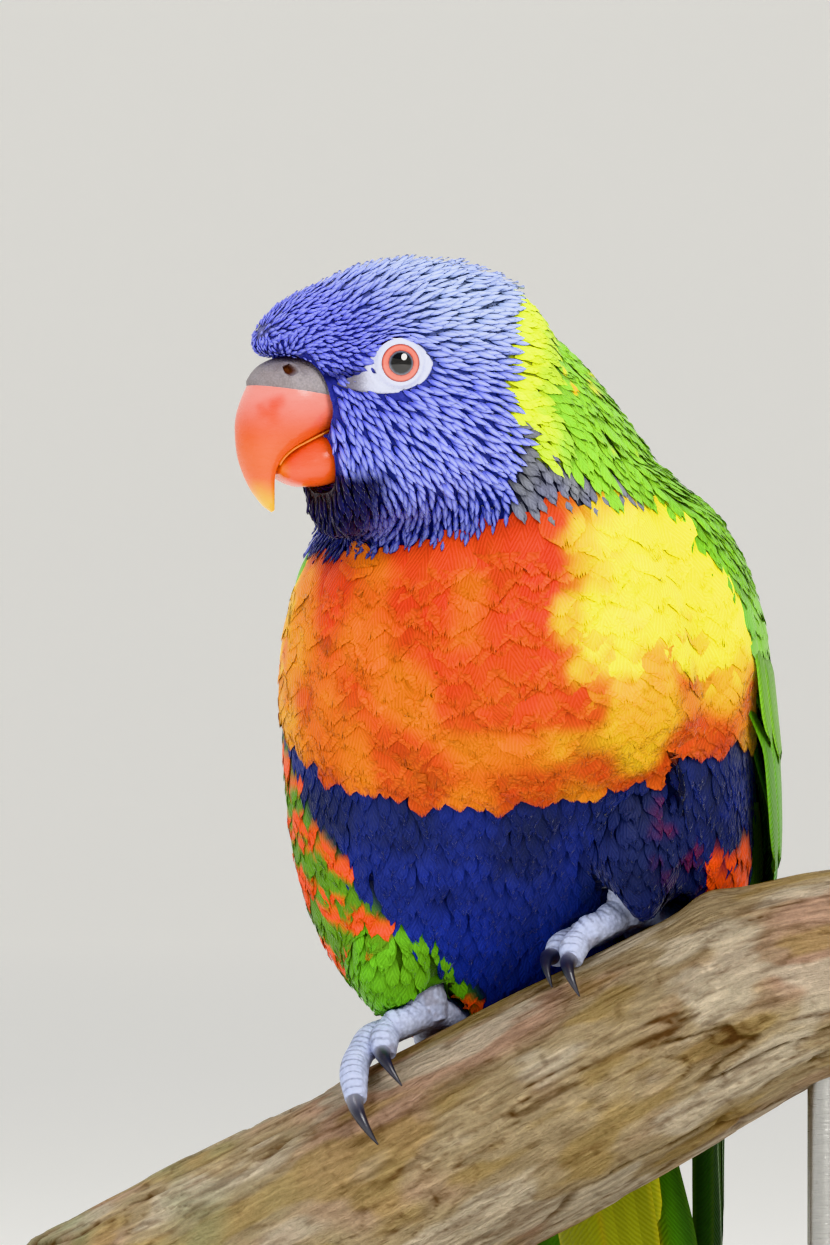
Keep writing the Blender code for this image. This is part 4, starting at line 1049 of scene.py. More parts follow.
def scatter(skin, rng, spacing_at, thickness=9):
    """Roots over the skin, each at least its own spacing from the others."""
    mesh = skin.data
    mesh.calc_loop_triangles()
    count = len(mesh.loop_triangles)
    corners = np.empty(count * 3, np.int32)
    mesh.loop_triangles.foreach_get("vertices", corners)
    owners = np.empty(count, np.int32)
    mesh.loop_triangles.foreach_get("polygon_index", owners)
    a, b, c = (corners_of(mesh)[corners.reshape(-1, 3)[:, k]] for k in range(3))
    cross = np.cross(b - a, c - a)
    area = np.linalg.norm(cross, axis=1) / 2
    middle = (a + b + c) / 3
    wanted = area / spacing_at(middle) ** 2
    total = int(wanted.sum() * thickness)
    picks = rng.choice(count, total, p=wanted / wanted.sum())
    u, v = rng.random((2, total))
    over = u + v > 1
    u, v = np.where(over, 1 - u, u), np.where(over, 1 - v, v)
    points = a[picks] + u[:, None] * (b - a)[picks] + v[:, None] * (c - a)[picks]
    spacing = spacing_at(points)
    tree = KDTree(total)
    for i, point in enumerate(points):
        tree.insert(point, i)
    tree.balance()
    alive = np.ones(total, bool)
    for i in range(total):
        if alive[i]:
            for _, j, _ in tree.find_range(points[i], spacing[i]):
                if j > i:
                    alive[j] = False
    normals = unit(cross)[picks]
    return points[alive], normals[alive], owners[picks][alive]


def both_faces(upper):
    """What belongs to the corners of each vane's grid, and then to its under face, without the rim."""
    number, width = len(upper), upper.shape[-1]
    under = upper[:, 1:-1, 1:-1].reshape(number, -1, width)
    return np.concatenate([upper.reshape(number, -1, width), under], 1)


def closed_vanes(name, grid, tint, patch, thickness, finish, size=0.0015, crease=70):
    """Thin closed vanes. grid and tint are (vane, row, column, 3); patch is each root's place on the map."""
    number, rows, columns = grid.shape[:3]
    normals = unit(np.cross(np.gradient(grid, axis=2), np.gradient(grid, axis=1)))
    points = both_faces(grid)
    inner = (grid - normals * thickness)[:, 1:-1, 1:-1].reshape(number, -1, 3)
    points[:, rows * columns :] = inner
    top = np.arange(rows * columns).reshape(rows, columns)
    low = top.copy()
    low[1:-1, 1:-1] = rows * columns + np.arange((rows - 2) * (columns - 2)).reshape(rows - 2, columns - 2)

    def quads(g):
        return np.stack([g[:-1, :-1], g[:-1, 1:], g[1:, 1:], g[1:, :-1]], -1).reshape(-1, 4)

    one = np.vstack([quads(top), quads(low)[:, ::-1]])
    faces = (one[None] + np.arange(number)[:, None, None] * points.shape[1]).reshape(-1, 4)
    shade = both_faces(tint)
    # The under face is painted 30% darker: painted shade under each vane
    shade[:, rows * columns :] *= 0.7
    middle = columns // 2
    spine = grid[:, :, middle]
    steps = np.linalg.norm(np.diff(spine, axis=1), axis=2)
    run = np.concatenate([np.zeros((number, 1)), np.cumsum(steps, axis=1)], axis=1)
    off = np.linalg.norm(grid - spine[:, :, None], axis=3) * np.sign(np.arange(columns) - middle)
    vane = both_faces(np.stack([off, np.repeat(run[:, :, None], columns, axis=2)], -1))
    local = np.stack(np.meshgrid(np.linspace(-1, 1, columns), np.linspace(-1, 1, rows)), -1)
    bake = np.clip(patch[:, None, :] + both_faces(local[None]) * size, 0, 1)
    maps = {"OFBake": bake.reshape(-1, 2), "vane": vane.reshape(-1, 2)}
    made = new_piece(name, points.reshape(-1, 3), faces, finish, shade.reshape(-1, 3), maps)
    if crease:
        made.data.set_sharp_from_angle(angle=math.radians(crease))
    return made


def patches_of(skin, owners):
    """The place of some of the skin's faces on its unwrap."""
    mesh = skin.data
    uv = np.empty(len(mesh.loops) * 2, np.float32)
    mesh.uv_layers["OFBake"].data.foreach_get("uv", uv)
    uv = uv.reshape(-1, 2)
    starts = np.empty(len(mesh.polygons), np.int32)
    mesh.polygons.foreach_get("loop_start", starts)
    return np.clip(uv[starts[owners]], 0.002, 0.998).astype(float)


def lay_feathers(surface, roots, normals, flow, sizes, kind, rng):
    """Places the grids of many small feathers of one kind on the skin."""
    rows, columns, outline, draw_back, notch, camber = KINDS[kind]
    length, half, low, high = sizes
    count = len(roots)
    side = unit(np.cross(flow, normals))
    t = np.linspace(0, 1, rows)[None, :, None] ** 0.9
    a = np.linspace(-1, 1, columns)[None, None, :]
    width = line(outline, np.linspace(0, 1, rows) ** 0.9)[None, :, None] * half[:, None, None]
    comb = (0.25 + 0.75 * (np.arange(columns) % 2)) * rng.uniform(0.25, 1.0, (count, 1, columns))
    cuts = comb * notch + draw_back * np.abs(a) ** 2.2
    along = (t - cuts * t**3) * length[:, None, None]
    bend = rng.normal(0, 0.05, count)[:, None, None] * along**2 / length[:, None, None]
    wide = a * width + bend
    flat = roots[:, None, None] + along[..., None] * flow[:, None, None]
    flat = flat + wide[..., None] * side[:, None, None]
    tilt = rng.normal(0, 0.10, count)[:, None, None]
    height = low[:, None, None] + (high - low)[:, None, None] * t**1.25
    crown = np.sin(np.pi * np.clip(t, 0.05, 0.95))
    height = height * (1 + tilt * a) + camber * half[:, None, None] * (1 - a**2) * crown
    height += (rng.random(count) * 0.10 * MM)[:, None, None]
    shape = flat.shape
    points = flat.reshape(-1, 3)
    found = np.empty_like(points)
    nearest = surface.find_nearest
    for i, point in enumerate(points):
        spot, normal, _, _ = nearest(point)
        found[i] = spot
        points[i] = normal
    return (found + points * height.reshape(-1, 1)).reshape(shape)


def well_laid(grid, length, half):
    """Which feathers aren't torn between two parts of the skin."""
    steps = np.linalg.norm(np.diff(grid, axis=1), axis=3).max((1, 2)) * (grid.shape[1] - 1)
    upper = grid[:, : grid.shape[1] // 2 + 1]
    across = np.linalg.norm(np.diff(upper, axis=2), axis=3).max((1, 2)) * (grid.shape[2] - 1)
    return (steps < length * 2.1) & (across < half * 6.0)


def shade_vanes(tint, streak, edge, kind, rng):
    """Tints over each vane: a root painted darker as shade under the overlapping feathers, a streak down the
    shaft and an edge of its own.
    """
    rows, columns = KINDS[kind][:2]
    strong_shaft, strong_edge, root = SHADES[kind]
    t = np.linspace(0, 1, rows)[None, :, None, None]
    a = np.abs(np.linspace(-1, 1, columns))[None, None, :, None]
    lighter = (1 + rng.normal(0, 0.07, len(tint)))[:, None, None, None]
    shaft = np.clip(1 - a * 1.25, 0, 1) * smooth(0.15, 0.5, t) * strong_shaft
    rim = np.maximum(a**3 * smooth(0.2, 0.7, t), smooth(0.80, 1.0, t)) * strong_edge * (1 - shaft)
    colour = tint * (1 - shaft - rim) + streak * shaft + edge * rim
    # The root is painted darker: painted shade under the feathers that overlap it
    return colour * lighter * (root + (1 - root) * smooth(0.0, 0.45, t))


def breast_share(points):
    """How big a breast feather is at some points, as a share of the full size: less towards the belly."""
    _, y, z = mm_on(BIRD, points)
    return mix(0.58, 1.0, smooth(4, 15, z - line(BREAST_BOTTOM, y)))


def spacing_on_bird(points):
    regions = where_on_bird(points, np.zeros(len(points)))
    hx, _, hz = mm_on(HEAD, points)
    apart = np.zeros(len(points))
    for name, chosen in regions.items():
        apart[chosen] = COAT[name][0]
    apart[regions["breast"]] *= breast_share(points[regions["breast"]])
    from_bill = np.sqrt((hx - 22) ** 2 + (hz - 3) ** 2)
    face = mix(FACE_FEATHERS[0], COAT["head"][0], smooth(3, 19, from_bill))
    return np.where(regions["head"], face, np.maximum(apart, 0.8)) * MM


def eye_axes(side):
    """Middle of an eye and its forward, upward and outward directions, in the world."""
    x, y, z = EYE_PLACE
    out = Vector((math.sin(EYE_TURN), side * math.cos(EYE_TURN), 0))
    forward = Vector((math.cos(EYE_TURN), -side * math.sin(EYE_TURN), 0))
    turn = HEAD.to_3x3()
    return HEAD @ Vector((x, side * y, z)), turn @ forward, Vector((0, 0, 1)), turn @ out


def bare_outline(count):
    """The outline of the bare skin as many points, forward and up, in mm."""
    knots = np.array(BARE_SKIN)
    total = len(knots)
    points = []
    for k in range(count):
        at = total * k / count
        i, t = int(at), at % 1
        p0, p1, p2, p3 = (knots[(i + d) % total] for d in (-1, 0, 1, 2))
        square, cube = 2 * p0 - 5 * p1 + 4 * p2 - p3, 3 * p1 - p0 - 3 * p2 + p3
        points.append(0.5 * (2 * p1 + (p2 - p0) * t + square * t**2 + cube * t**3))
    return np.array(points)


def in_bare_skin(points, margin):
    """Which points lie over the bare skin of either eye."""
    outline = bare_outline(60)
    angles = np.arctan2(outline[:, 1], outline[:, 0])
    order = np.argsort(angles)
    reach = np.linalg.norm(outline, axis=1)[order]
    angles = angles[order]
    found = np.zeros(len(points), bool)
    for side in (1, -1):
        middle, forward, up, out = (np.array(v) for v in eye_axes(side))
        offset = points - middle
        f, u, o = offset @ forward / MM, offset @ up / MM, offset @ out
        limit = np.interp(np.arctan2(u, f), angles, reach, period=math.tau)
        found |= (np.hypot(f, u) < limit - margin) & (o > -0.004)
    return found


def inside(surface, points):
    """Which points are inside a closed surface."""
    found = np.zeros(len(points), bool)
    for i, point in enumerate(points):
        spot, normal, _, _ = surface.find_nearest(point)
        found[i] = (Vector(point) - spot).dot(normal) < 0
    return found


def in_bill(points):
    """Which points of the face are inside either half of the bill."""
    spots = within(points, HEAD)
    near = np.flatnonzero((spots[:, 0] > 0.008) & (spots[:, 2] < 0.0055))
    found = np.zeros(len(points), bool)
    for table in (UPPER_BILL, LOWER_BILL):
        corners, faces = lofted(moved(np.array(bill_rings(table, 24, 20, 0.0001)), HEAD))
        tree = BVHTree.FromPolygons(corners.tolist(), faces.tolist())
        found[near] |= inside(tree, points[near])
    return found


def under_wing(points):
    """Which points the folded wings' long feathers hide."""
    x, y, z = mm_on(BIRD, points)
    degrees = round_back_of(x, y, z)
    top = 47 + 7 * cloud(points, 7 * MM, 5)
    return (z > -4) & (z < top) & (degrees > line(((40, 112), (50, 100)), z)) & (degrees < 151)


class LORIKEET_OT_coat(bpy.types.Operator):
    """Lays the small feathers of head, neck, trunk and thighs on the skin"""

    bl_idname = "lorikeet.coat"
    bl_label = "Coat"

    def execute(self, context):
        sizes = context.scene.lorikeet_coat
        rng = np.random.default_rng(sizes.seed)
        skin = bpy.data.objects["skin"]
        surface = surface_of(skin)
        roots, normals, owners = scatter(skin, rng, lambda p: spacing_on_bird(p) * sizes.spacing)
        keep = ~(in_bare_skin(roots, 0.5) | under_wing(roots) | in_bill(roots))
        roots, normals, owners = roots[keep], normals[keep], owners[keep]
        jitter = rng.normal(0, 0.9, len(roots)).clip(-2, 2)
        regions = where_on_bird(roots, jitter)
        flow = lie_of_coat(roots, normals)
        swing = rng.normal(0, 0.10, len(roots))[:, None]
        flow = unit(flow + np.cross(normals, flow) * swing)
        patch = patches_of(skin, owners)
        finishes = {kind: plumage_finish(*row[:3]) for kind, row in PLUMAGE.items()}
        for name, chosen in regions.items():
            if chosen.any():
                places = roots[chosen], normals[chosen], flow[chosen]
                grid, whole = self.laid(name, surface, places, rng)
                picked = np.flatnonzero(chosen)[whole]
                self.dress(name, grid[whole], roots[picked], jitter[picked], patch[picked], finishes, rng)
        return {"FINISHED"}

    def laid(self, name, surface, places, rng):
        """The grids of one region's feathers, and which of them lie well."""
        kind, sizes = KIND_OF[name], self.sizes_of(name, places[0], rng)
        grid = lay_feathers(surface, *places, sizes, kind, rng)
        whole = well_laid(grid, *sizes[:2])
        smaller = [v[~whole] for v in (sizes[0] * 0.5, sizes[1] * 0.6, *sizes[2:])]
        again = lay_feathers(surface, *(v[~whole] for v in places), smaller, kind, rng)
        grid[~whole] = again
        whole[~whole] = well_laid(again, *smaller[:2])
        return grid, whole

    def sizes_of(self, name, roots, rng):
        """Length, half width, and height of root and tip of each feather, in metres."""
        _, length, half, low, high = COAT[name]
        number = len(roots)
        vary = (1 + rng.normal(0, 0.10, number)).clip(0.75, 1.3)
        longer, wider, taller = length * vary, half * vary, high * vary
        if name == "head":
            hx, _, hz = mm_on(HEAD, roots)
            share = smooth(3, 19, np.hypot(hx - 22, hz - 3))
            longer = mix(FACE_FEATHERS[1], length, share) * vary
            wider = mix(FACE_FEATHERS[2], half, share) * vary
            taller = mix(0.35, high, share) * vary * (1 + 0.9 * smooth(4, 14, hz) * rng.random(number))
        if name == "breast":
            share = breast_share(roots)
            longer, wider = longer * share, wider * share
        return [v * MM for v in (longer, wider, np.full(number, low), taller)]

    def dress(self, name, grid, roots, jitter, patch, finishes, rng):
        """Tints one region's feathers and makes its pieces, each small enough."""
        kind = KIND_OF[name]
        number, rows, columns = grid.shape[:3]
        t = np.broadcast_to(np.linspace(0, 1, rows)[None, :, None], (number, rows, columns)).ravel()
        colours = colours_of(name, grid.reshape(-1, 3), np.repeat(jitter, rows * columns), t)
        shade = shade_vanes(*(v.reshape(grid.shape) for v in colours), kind, rng)
        order = np.argsort(within(roots, HEAD)[:, 1] if name == "head" else roots[:, 0])
        most = COAT_LIMIT // (4 * (rows - 1) * (columns - 1))
        for k, part in enumerate(np.array_split(order, math.ceil(number / most))):
            vanes = grid[part], shade[part], patch[part], VANE_THICKNESS, finishes[kind]
            piece = closed_vanes(f"coat_{name}_{k + 1}", *vanes, crease=None if kind == "lance" else 70)
            shown(piece, PLUMAGE[kind][3])


# Folded wings, in mm and degrees: how many, heights of roots, first and last degrees there, the same for
# the tips, half width, lift of root and vane, first and last, and tilt
WING_TIERS = {
    "primaries": (7, (30, 30), (102, 113), (-66, -32), (150, 146), 4.6, (0.9, 1.7), (0.8, 3.8), 0.10),
    "secondaries": (9, (42, 42), (106, 160), (-13, 1), (124, 160), 4.9, (1.4, 1.4), (4.6, 4.0), 0.60),
    "greater": (12, (52, 52), (99, 159), (19, 18), (102, 161), 4.2, (2.0, 2.0), (5.2, 4.8), 0.50),
    "median": (13, (61, 59), (98, 157), (37, 34), (101, 159), 3.7, (2.6, 2.6), (5.8, 5.1), 0.45),
}
FLIGHT = ((0, 0.55), (0.3, 0.92), (0.6, 1.0), (0.85, 0.82), (0.95, 0.55), (1, 0.16))
COVERT = ((0, 0.60), (0.3, 0.95), (0.6, 1.0), (0.80, 0.97), (0.90, 0.80), (0.96, 0.54), (1, 0.16))
# Half width of a tail feather in mm, and its outline
TAIL_HALF = 5.5
TAIL_OUTLINE = ((0, 0.66), (0.4, 1.0), (0.7, 0.95), (0.88, 0.62), (1, 0.08))
# Colours of each tier: the vane, its inner half and its shaft
WING_COLOURS = {
    "primaries": (srgb(50, 92, 34), srgb(28, 36, 26), srgb(116, 146, 52)),
    "secondaries": (srgb(76, 152, 36), srgb(34, 74, 30), srgb(136, 196, 56)),
    "greater": (srgb(100, 168, 40), srgb(54, 114, 36), srgb(146, 204, 62)),
    "median": (srgb(114, 174, 42), srgb(76, 136, 38), srgb(156, 210, 66)),
}


def vane_tints(number, rows, columns, base, inner, shaft, rng):
    """Tints of stiff vanes: a paler shaft, a darker inner half, a fine light rim, and painted shade towards
    the root.
    """
    t = np.linspace(0, 1, rows)[None, :, None, None]
    a = np.linspace(-1, 1, columns)[None, None, :, None]
    colour = mix(base, inner, smooth(0.1, 0.8, a) * 0.8)
    colour = mix(colour, shaft, np.clip(1 - np.abs(a) * 5, 0, 1) * 0.30)
    colour = mix(colour, shaft, smooth(0.82, 1.0, np.abs(a)) * 0.20)
    vary = (1 + rng.normal(0, 0.08, number))[:, None, None, None]
    # Darker towards the root: painted shade under the feathers that overlap it
    return colour * vary * (0.72 + 0.28 * smooth(0.1, 0.6, t))


def stiff_vanes(name, grid, tint, thickness, finish, slot, *nodes):
    """Shows a row of long vanes, each with a wide patch of its own on the map."""
    spots = np.column_stack([np.linspace(0.05, 0.95, len(grid)), np.full(len(grid), 0.5)])
    shown(closed_vanes(name, grid, tint, spots, thickness, finish, 0.02), slot, *nodes)


def wing_grid(side, tier, rng, rows=21, columns=11):
    number, tops, root_turn, ends, tip_turn, half, root_lift, lifts, tilt = WING_TIERS[tier]
    outline = FLIGHT if tier == "primaries" else COVERT
    share = np.linspace(0, 1, number)[:, None, None]
    t = np.linspace(0, 1, rows)[None, :, None]
    a = np.linspace(-1, 1, columns)[None, None, :]

    def span(pair):
        return pair[0] + (pair[1] - pair[0]) * share

    width = half * line(outline, np.linspace(0, 1, rows))[None, :, None]
    notch = rng.random((number, 1, columns)) * 0.012 + 0.035 * np.abs(a) ** 2.2
    place = t - notch * t**4
    wobble = rng.normal(0, 1.1, (number, 1, 1))
    start = span(tops) + rng.normal(0, 1.5, (number, 1, 1))
    z = start + (span(ends) + wobble - start) * place + 0 * a
    swing = rng.normal(0, 0.9, (number, 1, 1))
    degrees = span(root_turn) + (span(tip_turn) - span(root_turn)) * place**1.3 + swing * place + 0 * a
    lift = span(root_lift) + (span(lifts) - span(root_lift)) * smooth(0, 0.4, place) + 0 * a
    angle = np.radians(degrees)
    here, there = mantle(z, angle, lift), mantle(z, angle + 0.02, lift)
    arc = np.linalg.norm(there - here, axis=-1) / 0.02 / MM
    camber = 0.10 * width * (1 - a**2) + 0.12 * np.exp(-((a / 0.10) ** 2))
    points = mantle(z, angle + a * width / arc, lift - tilt * a + camber)
    points[..., 1] *= side
    if side < 0:
        points = points[:, :, ::-1]
    return moved(points, BIRD)


class LORIKEET_OT_wings(bpy.types.Operator):
    """Lays the tiers of both folded wings"""

    bl_idname = "lorikeet.wings"
    bl_label = "Wings"

    def execute(self, context):
        rng = np.random.default_rng(context.scene.lorikeet_coat.seed + 1)
        finish = plumage_finish("wing_plumage", 0.00070, 0.00007, 42.0, 0.48, 0.12)
        for side, word in ((1, "left"), (-1, "right")):
            for tier, (base, inner, shaft) in WING_COLOURS.items():
                grid = wing_grid(side, tier, rng)
                tint = vane_tints(*grid.shape[:3], base, inner, shaft, rng)
                look = STIFF_THICKNESS, finish, "wing_plumage"
                nodes = ["wing_" + word] if tier == "primaries" else []
                stiff_vanes(f"{tier}_{word}", grid, tint[:, :, ::side], *look, *nodes)
        return {"FINISHED"}


def tail_matrix():
    out = Vector((-math.cos(TAIL_DIRECTION), 0, -math.sin(TAIL_DIRECTION)))
    right = Vector((0, -1, 0))
    turn = Matrix((out, right, out.cross(right))).transposed().to_4x4()
    return BIRD @ Matrix.Translation(TAIL_ROOT) @ turn


def tail_vane_grid(side, rank, rows=22, columns=11):
    """One long tail feather, in mm in the tail's frame, with its shaft a little off the middle."""
    length = TAIL_LENGTHS[rank] / MM
    t = np.linspace(0, 1, rows)[:, None]
    a = np.linspace(-1, 1, columns)[None, :]
    half = TAIL_HALF * line(TAIL_OUTLINE, t)
    shift, spread = 1.2 + 1.3 * rank, math.radians(0.4 + 0.40 * rank)
    level = 0.45 if side > 0 and rank == 0 else -0.9 * (rank + 0.5)
    x = 14 + (length - 14) * (t - 0.02 * np.abs(a) ** 2 * t**6)
    inner = np.where(a < 0, np.minimum(1.0, (shift + math.sin(spread) * x) / TAIL_HALF if rank else 1.0), 1.0)
    y = shift + math.sin(spread) * x + a * half * inner
    z = level + 2.2 - 0.009 * y * y + 0.15 * np.exp(-((a / 0.12) ** 2))
    grid = np.stack([x + 0 * a, side * y, z + 0 * x], -1)
    return grid[:, ::side] * MM


def tail_covert(upper, reach, across, rows=11, columns=9):
    """One covert over or under the tail's root, in its frame."""
    t = np.linspace(0, 1, rows)[:, None]
    a = np.linspace(-1, 1, columns)[None, :]
    x = 8 + (reach - 8) * (t - 0.05 * np.abs(a) ** 2.2 * t**4)
    y = across * (1 - 0.15 * t) + a * 3.6 * line(COVERT, t)
    out = (5.2 - 1.4 * t if upper else 9.4 - 2.2 * t) + 0.25 * (1 - a**2)
    z = (1 if upper else -1) * (out - 0.016 * y * y - 0.3 * abs(across) / 8)
    grid = np.stack([x + 0 * a, y, z + 0 * x], -1)
    return (grid if upper else grid[:, ::-1]) * MM


class LORIKEET_OT_tail(bpy.types.Operator):
    """Lays the twelve tail feathers and the coverts over and under their roots"""

    bl_idname = "lorikeet.tail"
    bl_label = "Tail"

    def execute(self, context):
        rng = np.random.default_rng(context.scene.lorikeet_coat.seed + 2)
        finish = plumage_finish("tail_plumage", 0.00070, 0.00007, 42.0, 0.48, 0.12)
        place = tail_matrix()
        green, dusky, yellow = srgb(86, 150, 40), srgb(46, 84, 34), srgb(222, 178, 40)
        grids, tints = [], []
        for rank in range(len(TAIL_LENGTHS)):
            for side in (-1, 1):
                grid = tail_vane_grid(side, rank)
                rows, columns = grid.shape[:2]
                tint = vane_tints(1, rows, columns, green, dusky, srgb(120, 160, 60), rng)[0]
                a = np.linspace(-1, 1, columns)[None, :, None]
                t = np.linspace(0, 1, rows)[:, None, None]
                tint = mix(tint, yellow, smooth(-0.1, -0.5, a) * smooth(0.98, 0.6, t) * (0.14 * rank))
                grids.append(grid)
                tints.append(tint[:, ::side])
        grid = moved(np.array(grids), place)
        stiff_vanes("tail_feathers", grid, np.array(tints), STIFF_THICKNESS, finish, "tail_plumage", "tail")
        upper_look, under_look = (green, srgb(130, 190, 60)), (srgb(168, 176, 44), yellow)
        grids, tints = [], []
        for upper, reach, count, wide in ((1, 50, 7, 7.5), (1, 40, 6, 8.0), (0, 64, 7, 6.0), (0, 48, 6, 7.5)):
            base, shaft = upper_look if upper else under_look
            for k in range(count):
                across = -wide + 2 * wide * k / (count - 1)
                grids.append(tail_covert(upper, reach - 1.1 * abs(across), across))
                tints.append(vane_tints(1, 11, 9, base, base, shaft, rng)[0])
        grid = moved(np.array(grids), place)
        stiff_vanes("tail_coverts", grid, np.array(tints), COVERT_THICKNESS, finish, "tail_plumage")
        return {"FINISHED"}


# Head's own pieces


def bill_rings(table, sections, count, spare=0.0):
    """Sections between a ridge line and a cutting edge, in the head's frame."""
    rows = dense(numbered(table), sections)
    angle = round_angles(count)
    down = ((1 - np.cos(angle)) / 2) ** 0.85
    power = np.where(np.cos(angle) < 0, 0.62, 0.8)
    side = np.sign(np.sin(angle)) * np.abs(np.sin(angle)) ** power
    rings = []
    for _, ridge_x, ridge_z, edge_x, edge_z, half in rows:
        x = ridge_x + (edge_x - ridge_x) * down
        z = ridge_z + spare + (edge_z - ridge_z - 2 * spare) * down
        rings.append(np.stack([x, (half + spare) * side, z], 1))
    return rings


HORN_TIP = srgb(250, 200, 70)


def bill_tints(points, lower):
    """Orange-red horn, with a painted pink sheen high up near its root, yellow at the tip and cutting edge.
    """
    x, _, z = mm_on(HEAD, points)
    base = blended(srgb(226, 78, 44), srgb(236, 112, 40), smooth(-3, -15, z) * 0.8)
    blotch = clouds(points, 5 * MM, 3, 7)
    if lower:
        base = blended(base, srgb(232, 92, 46), 0.8)
        return blended(base, HORN_TIP, smooth(23.4, 25.4, x) * 0.4)
    # Pale pink over the upper part near the cere: painted sheen
    base = blended(base, srgb(238, 160, 150), smooth(-11, -3.2, z) * smooth(0.35, 0.65, blotch + 0.12) * 0.75)
    return blended(base, HORN_TIP, smooth(-17.0, -21.5, z + 2 * (blotch - 0.5)))


class LORIKEET_OT_bill(bpy.types.Operator):
    """Makes the cere and both halves of the bill"""

    bl_idname = "lorikeet.bill"
    bl_label = "Bill"

    def execute(self, context):
        horn = horn_finish("bill_horn", 0.20)
        skin = soft_skin_finish("cere_skin", 2600.0, 0.00010, 0.5)
        whole = new_piece("bill_whole", *lofted(bill_rings(UPPER_BILL, 110, 72)), None)
        cere = self.side_of_cut(whole, "cere_piece", 1)
        upper = self.side_of_cut(whole, "bill_upper_piece", -1)
        bpy.data.objects.remove(whole)
        dark = self.swell(cere.data)
        points = corners_of(cere.data)
        tint = blended(srgb(150, 145, 150), srgb(120, 104, 100), clouds(points, 2.2 * MM, 3, 5) * 0.8)
        # Nostrils darkened to brown: painted shade in the sunk holes
        shown(dressed(cere, skin, blended(tint, srgb(92, 52, 34), dark), 40), "cere_skin", "cere")
        set_corners(upper.data, moved(corners_of(upper.data), HEAD))
        tint = bill_tints(corners_of(upper.data), False)
        shown(dressed(upper, horn, tint, 40), "bill_horn", "bill_upper")
        points, faces = lofted(bill_rings(LOWER_BILL, 60, 64))
        points = moved(points, HEAD)
        lower = new_piece("bill_lower_piece", points, faces, horn, bill_tints(points, True))
        shown(lower, "bill_horn", "bill_lower")
        self.cutting_edge(horn)
        return {"FINISHED"}

    def side_of_cut(self, whole, name, sign):
        """A new closed piece with what is before or behind the plane of the cere's edge."""
        shape = bmesh.new()
        shape.from_mesh(whole.data)
        geom = [*shape.verts, *shape.edges, *shape.faces]
        way = Vector(CERE_EDGE[1]) * sign
        cut = bmesh.ops.bisect_plane(shape, geom=geom, plane_co=CERE_EDGE[0], plane_no=way, clear_inner=True)
        edges = [g for g in cut["geom_cut"] if isinstance(g, bmesh.types.BMEdge)]
        bmesh.ops.holes_fill(shape, edges=edges, sides=0)
        return built(shape, name)

    def swell(self, mesh):
        """Swells the cere, sinks its nostrils and gives the share of painted shade in them at its corners."""
        spots, normals = corners_of(mesh), normals_of(mesh)
        edge, way = (np.array(v) for v in CERE_EDGE)
        above = (spots - edge) @ way / MM
        rise = 0.45 * smooth(-0.1, 0.7, above) * smooth(5.5, 2.0, above) * (np.abs(normals @ way) <= 0.98)
        spots += normals * (rise * MM)[:, None]
        dark = np.zeros(len(spots))
        for side in (1, -1):
            hole = np.array(NOSTRIL) * (1, side, 1)
            near = np.linalg.norm((spots - hole) * (1, 0.4, 1), axis=1) / MM
            near = np.where(spots[:, 1] * side > 0, near, 99)
            spots += normals * (0.25 * np.exp(-(((near - 1.25) / 0.35) ** 2)) * MM)[:, None]
            spots -= np.outer(smooth(1.0, 0.55, near) * 1.6 * MM, (0, side, 0))
            dark = np.maximum(dark, smooth(1.15, 0.6, near))
        set_corners(mesh, moved(spots, HEAD))
        return dark

    def cutting_edge(self, horn):
        """The thin yellowish lip along the upper bill's cutting edge, on both sides."""
        table = dense(numbered(UPPER_BILL), 60)[:40]
        for side, word in ((1, "left"), (-1, "right")):
            spine = [(row[3] - 0.0001, side * row[5] * 0.60, row[4] + 0.0002) for row in table]
            points, faces = lofted(tube_rings(spine, np.full(len(table), 0.00018), 10))
            lip = new_piece("bill_lip_" + word, moved(points, HEAD), faces, horn, srgb(226, 140, 62))
            shown(lip, "bill_horn")


def tube_rings(points, radii, count):
    """Rings round a line, turned with it so that they don't twist."""
    points = np.asarray(points, float)
    ways = unit(np.gradient(points, axis=0))
    up = np.array((0.0, 0.0, 1.0)) if abs(ways[0][2]) < 0.9 else np.array((1.0, 0.0, 0.0))
    angle = round_angles(count)[:, None]
    rings = []
    for point, way, radius in zip(points, ways, radii):
        up = unit(up - way * np.dot(up, way))
        rings.append(point + radius * (np.cos(angle) * up + np.sin(angle) * np.cross(way, up)))
    return np.array(rings)


# Radius of the opening between the lids, in mm
LID_OPENING = 3.12


